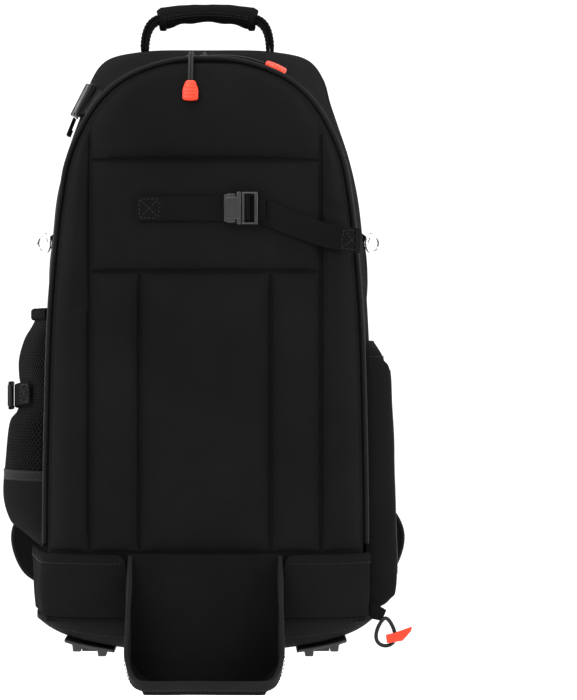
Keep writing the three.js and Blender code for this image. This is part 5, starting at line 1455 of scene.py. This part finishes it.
# Front: panels that lie on the domed cover
def pillow(d, soft=6.5):
    return 1 - np.exp(-np.maximum(d, 0) / soft)


def dents(x, h):
    """Soft creases where the front strips are pinched, in millimetres inwards."""
    total = np.zeros(np.broadcast(x, h).shape)
    for cx, ch, slope, reach, width, deep in (
        (-98, 294, 0.25, 16, 5.0, 2.6), (-90, 303, -0.4, 12, 5.0, 1.2),
        (112, 374, 0.16, 20, 5.5, 3.2), (97, 377, -0.5, 9, 6.0, 1.6),
        (-112, 205, 0.1, 22, 16, 1.2), (114, 190, -0.1, 22, 18, 1.0),
    ):
        line = (h - ch) - slope * (x - cx)
        total = total + DENT_DEPTH * deep * np.exp(-((x - cx) / reach) ** 2 - (line / width) ** 2)
    return total


def group_edges(h):
    half = face_half(h)
    groove = np.minimum(GROOVE_X, half - 6)
    inner = np.minimum(CENTRE_X, groove * 0.6)
    strip_in = np.minimum(groove + GROOVE_W, half - 3.5)
    return dict(half=half, groove=groove, inner=inner, strip_in=strip_in)


def front_panel(name, low, high, left, right, pad, seed, fall=1.0, step=2.4):
    """A quilted panel between two heights and two edges, each a function of the height."""
    share = np.linspace(0, 1, int((high - low) / step) + 2)
    if fall > 1:
        share = 1 - (1 - share) ** fall
    h = low + (high - low) * share
    a, b = left(h), right(h)
    u = np.linspace(0, 1, max(int(np.max(b - a) / step), 8) + 1)
    u = 0.5 + 0.5 * np.sign(u - 0.5) * np.abs(2 * u - 1) ** 0.8
    x = a[:, None] + (b - a)[:, None] * u
    hh = np.broadcast_to(h[:, None], x.shape)
    seat = seat_y(x, hh) - GAP
    side = np.minimum(x - a[:, None], b[:, None] - x)
    above = np.maximum(crown_at(np.abs(x)) - 1.5 - hh, 0) if fall > 1 else high - hh
    ends = np.minimum(hh - low, above)
    crown = pillow(side) * pillow(ends)
    pucker = np.exp(-side / 7) * np.sin(hh / 1.9 + 2 * waves(x, hh, 60, seed)) * (side > 0.4)
    pucker = pucker + np.exp(-ends / 7) * np.sin(x / 1.9 + 2 * waves(x, hh, 60, seed + 1)) * (ends > 0.4)
    full = pad * crown * (0.97 - 0.07 * (1 + waves(x, hh, 95, seed + 2))) + PUCKER * pucker
    full = full - dents(x, hh) * crown
    front = np.stack([x, seat - PAD_EDGE - full, hh], axis=2)
    slab(name, front, np.stack([x, seat, hh], axis=2), body_cloth, "body_cloth", "front_" + name, padded=0.7)


def build_front():
    seam = GROOVE_W / 2
    low, high = SEAM_LOW_H - seam, SEAM_LOW_H + seam
    under, over = SEAM_HIGH_H - seam, SEAM_HIGH_H + seam
    strip_top = float(np.max([h for h in np.arange(400, 480, 0.5) if face_half(h) > GROOVE_X + 9]))

    def edge(side, key, inset=0.0):
        return lambda h: side * (group_edges(h)[key] + inset)
    left, right = edge(-1, "groove"), edge(1, "groove")
    front_panel("panel_top", over, FACE_H - 2, left, right, PANEL_PAD, 11, fall=1.5)
    for name, first, last, a, b, pad, seed in (
        ("panel_middle", high, under, left, right, PANEL_PAD, 12),
        ("panel_low_left", BOOT_H, low, left, edge(-1, "inner", seam), PANEL_PAD, 13),
        ("panel_low_centre", BOOT_H, low, edge(-1, "inner", -seam), edge(1, "inner", -seam), PANEL_PAD, 14),
        ("panel_low_right", BOOT_H, low, edge(1, "inner", seam), right, PANEL_PAD, 15),
        ("strip_left", BOOT_H, strip_top, edge(-1, "half", -3), edge(-1, "strip_in"), STRIP_PAD, 16),
        ("strip_right", BOOT_H, strip_top, edge(1, "strip_in"), edge(1, "half", -3), STRIP_PAD, 17),
    ):
        front_panel(name, first, last, a, b, pad, seed)
    crown_rows = 460 + 34 * (1 - (1 - np.linspace(0, 1, 14)) ** 1.5)
    rows = np.concatenate([np.arange(BASE_H + GAP, 460, 4.0), crown_rows])
    u = np.linspace(-1, 1, 67)
    x = face_half(rows)[:, None] * np.sign(u) * np.abs(u) ** 0.85
    h = np.broadcast_to(rows[:, None], x.shape)
    y = cover_y(x, h)
    slab("cover", np.stack([x, y - COVER_T, h], axis=2), np.stack([x, y, h], axis=2), body_cloth,
         "body_cloth", ("front_cover_low", "front_cover_high"), padded=0.6)


# Side and top walls
def wall_grid(t, depth, out):
    """Points on the walls, moved outwards by out."""
    share = depth ** FACE_POWER
    x, h = outline_at(t, share)
    ahead, behind = outline_at(np.minimum(t + 0.003, 1), share), outline_at(np.maximum(t - 0.003, 0), share)
    dx, dh = ahead[0] - behind[0], ahead[1] - behind[1]
    size = np.hypot(dx, dh)
    y = WALL_BACK + (-GUSSET_D - WALL_BACK) * depth
    return np.stack([x - dh / size * out, y, np.maximum(h + dx / size * out, BASE_H + GAP)], axis=2)


def wall(name, first, last, node, seed):
    rows = int((last - first) / OUTLINE_SPANS * OUTLINE_L / 4)
    t = np.linspace(first / OUTLINE_SPANS + 0.0006, last / OUTLINE_SPANS - 0.0006, rows)[:, None]
    depth = np.linspace(0, 1, 44)[None, :]
    t, depth = np.broadcast_arrays(t, depth)
    y = WALL_BACK + (-GUSSET_D - WALL_BACK) * depth
    along = t * OUTLINE_L
    channel = smoothstep(-y, ZIP_D - 8, ZIP_D - 5.5) * (1 - smoothstep(-y, ZIP_D + 4.5, ZIP_D + 7))
    full = WALL_FULL * waves(along, y, 120, seed) * np.sin(np.pi * np.clip((-y - 14) / 118, 0, 1))
    edge = 1.2 * np.exp(-(-y - 14) / 5)
    out = full - ZIP_SUNK * channel - edge
    slab(name, wall_grid(t, depth, out), wall_grid(t, depth, -np.full(t.shape, WALL)), body_cloth,
         "body_cloth", node, padded=0.5)


def zip_chain():
    """The coil of the main zip in its channel, from boot to boot."""
    first = 1 - float(solve_outline(1.0, 1, BOOT_H + 6))
    count = 1500
    t = np.linspace(first, 1 - first, count)
    depth = np.full(count, (ZIP_D + WALL_BACK) / (GUSSET_D + WALL_BACK))
    middle = wall_grid(t[:, None], depth[:, None], np.full((count, 1), -0.9))[:, 0]
    coil("zip_coil", middle, 5.2, 1.7, 0.22, gloss_plastic)
    sweep("zip_tape", resample(middle, 4), (0, 1, 0), band(12.5, 0.5), binding_cloth, "piping")


def piping():
    first = 1 - float(solve_outline(1.0, 1, BOOT_H + 4))
    t = np.linspace(first, 1 - first, 900)
    x, h = outline_at(t, 1.0)
    tangent = unit(np.gradient(np.stack([x, h], axis=1), axis=0))
    out = PIPING_R + 3 * GAP
    y = np.full(len(t), -(GUSSET_D + COVER_T / 2))
    path = resample(np.stack([x - tangent[:, 1] * out, y, h + tangent[:, 0] * out], axis=1), 2.2)
    steps = np.arange(len(path))
    swell = 1 + 0.05 * waves(steps * 2.2, 0 * steps, 18, 3)
    section = circle(PIPING_R, 12)[None] * swell[:, None, None]
    sweep("piping_cord", path, (0, 1, 0), section, piping_cloth, "piping", "piping")
    inward = unit(np.stack([tangent[:, 1], 0 * tangent[:, 0], -tangent[:, 0]], axis=1))
    inward = inward[np.linspace(0, len(inward) - 1, len(path)).astype(int)]
    flange = path + [0, 0.9, 0] + inward * (PIPING_R + 0.2)
    sweep("piping_flange", flange, (0, 0.35, 0) + inward, band(4.5, 0.7), piping_cloth, "piping")


def build_body():
    wall("wall_left", 0, 6, "side_wall_left", 21)
    wall("wall_top", 6, 18, "top_wall", 22)
    wall("wall_right", 18, 24, "side_wall_right", 23)
    zip_chain()
    piping()


def studio():
    """A pale floor that curves up into a backdrop, and soft lights."""
    floor_h, far, bend = -190.0, 3600, 900
    rows = [(-12000, floor_h), (far, floor_h)]
    for a in np.linspace(0, math.pi / 2, 13)[1:]:
        rows.append((far + bend * math.sin(a), floor_h + bend * (1 - math.cos(a))))
    rows.append((far + bend, 5200))
    points = np.array([[x, y, h] for y, h in rows for x in (-9000.0, 9000.0)])
    faces = [[2 * i, 2 * i + 1, 2 * i + 3, 2 * i + 2] for i in range(len(rows) - 1)]
    mesh = bpy.data.meshes.new("floor")
    mesh.from_pydata([tuple(p) for p in place(points)], [], faces)
    mesh.shade_smooth()
    mesh.materials.append(Look("pale_floor", (0.93, 0.93, 0.93), 0.9, specular_ior_level=0.1,
                               emission_color=(1, 1, 1, 1), emission_strength=0.25).material)
    obj = bpy.data.objects.new("floor", mesh)
    bpy.context.collection.objects.link(obj)
    world = bpy.data.worlds.new("studio")
    bpy.context.scene.world = world
    world.use_nodes = True
    world.node_tree.nodes["Background"].inputs[0].default_value = (1, 1, 1, 1)
    world.node_tree.nodes["Background"].inputs[1].default_value = 0.75
    for name, where, size, power in (
        ("key", (-900, -1500, 1500), 1.1, 22), ("fill", (1500, -1100, 700), 1.0, 10),
        ("rim_left", (-1400, 300, 600), 0.9, 16), ("rim_right", (1500, 300, 500), 0.9, 14),
        ("top", (0, -200, 1700), 1.2, 14),
    ):
        light = bpy.data.lights.new(name, "AREA")
        light.size = size
        light.energy = power
        lamp = bpy.data.objects.new(name, light)
        lamp.location = place(where)
        aim = Vector(place((0, -90, 260))) - lamp.location
        lamp.rotation_euler = aim.to_track_quat("-Z", "Y").to_euler()
        bpy.context.collection.objects.link(lamp)
    bpy.context.scene.view_settings.view_transform = "Standard"


zip_pulls()
lash_strap()
build_front()
build_body()
base()
boot("boot_left", -1, BOOT_LEFT_BACK, 31)
boot("boot_right", 1, BOOT_RIGHT_BACK, 32)
pouch()
mesh_pocket()
side_strap()
zip_pocket()
pocket_pull()
handle()
for side, word in ((-1, "left"), (1, "right")):
    foot("foot_" + word, side)
    shoulder_strap(side, word)
    ring(side, word)
    wing(side, word)
back_panel()
upper_strap()
studio()
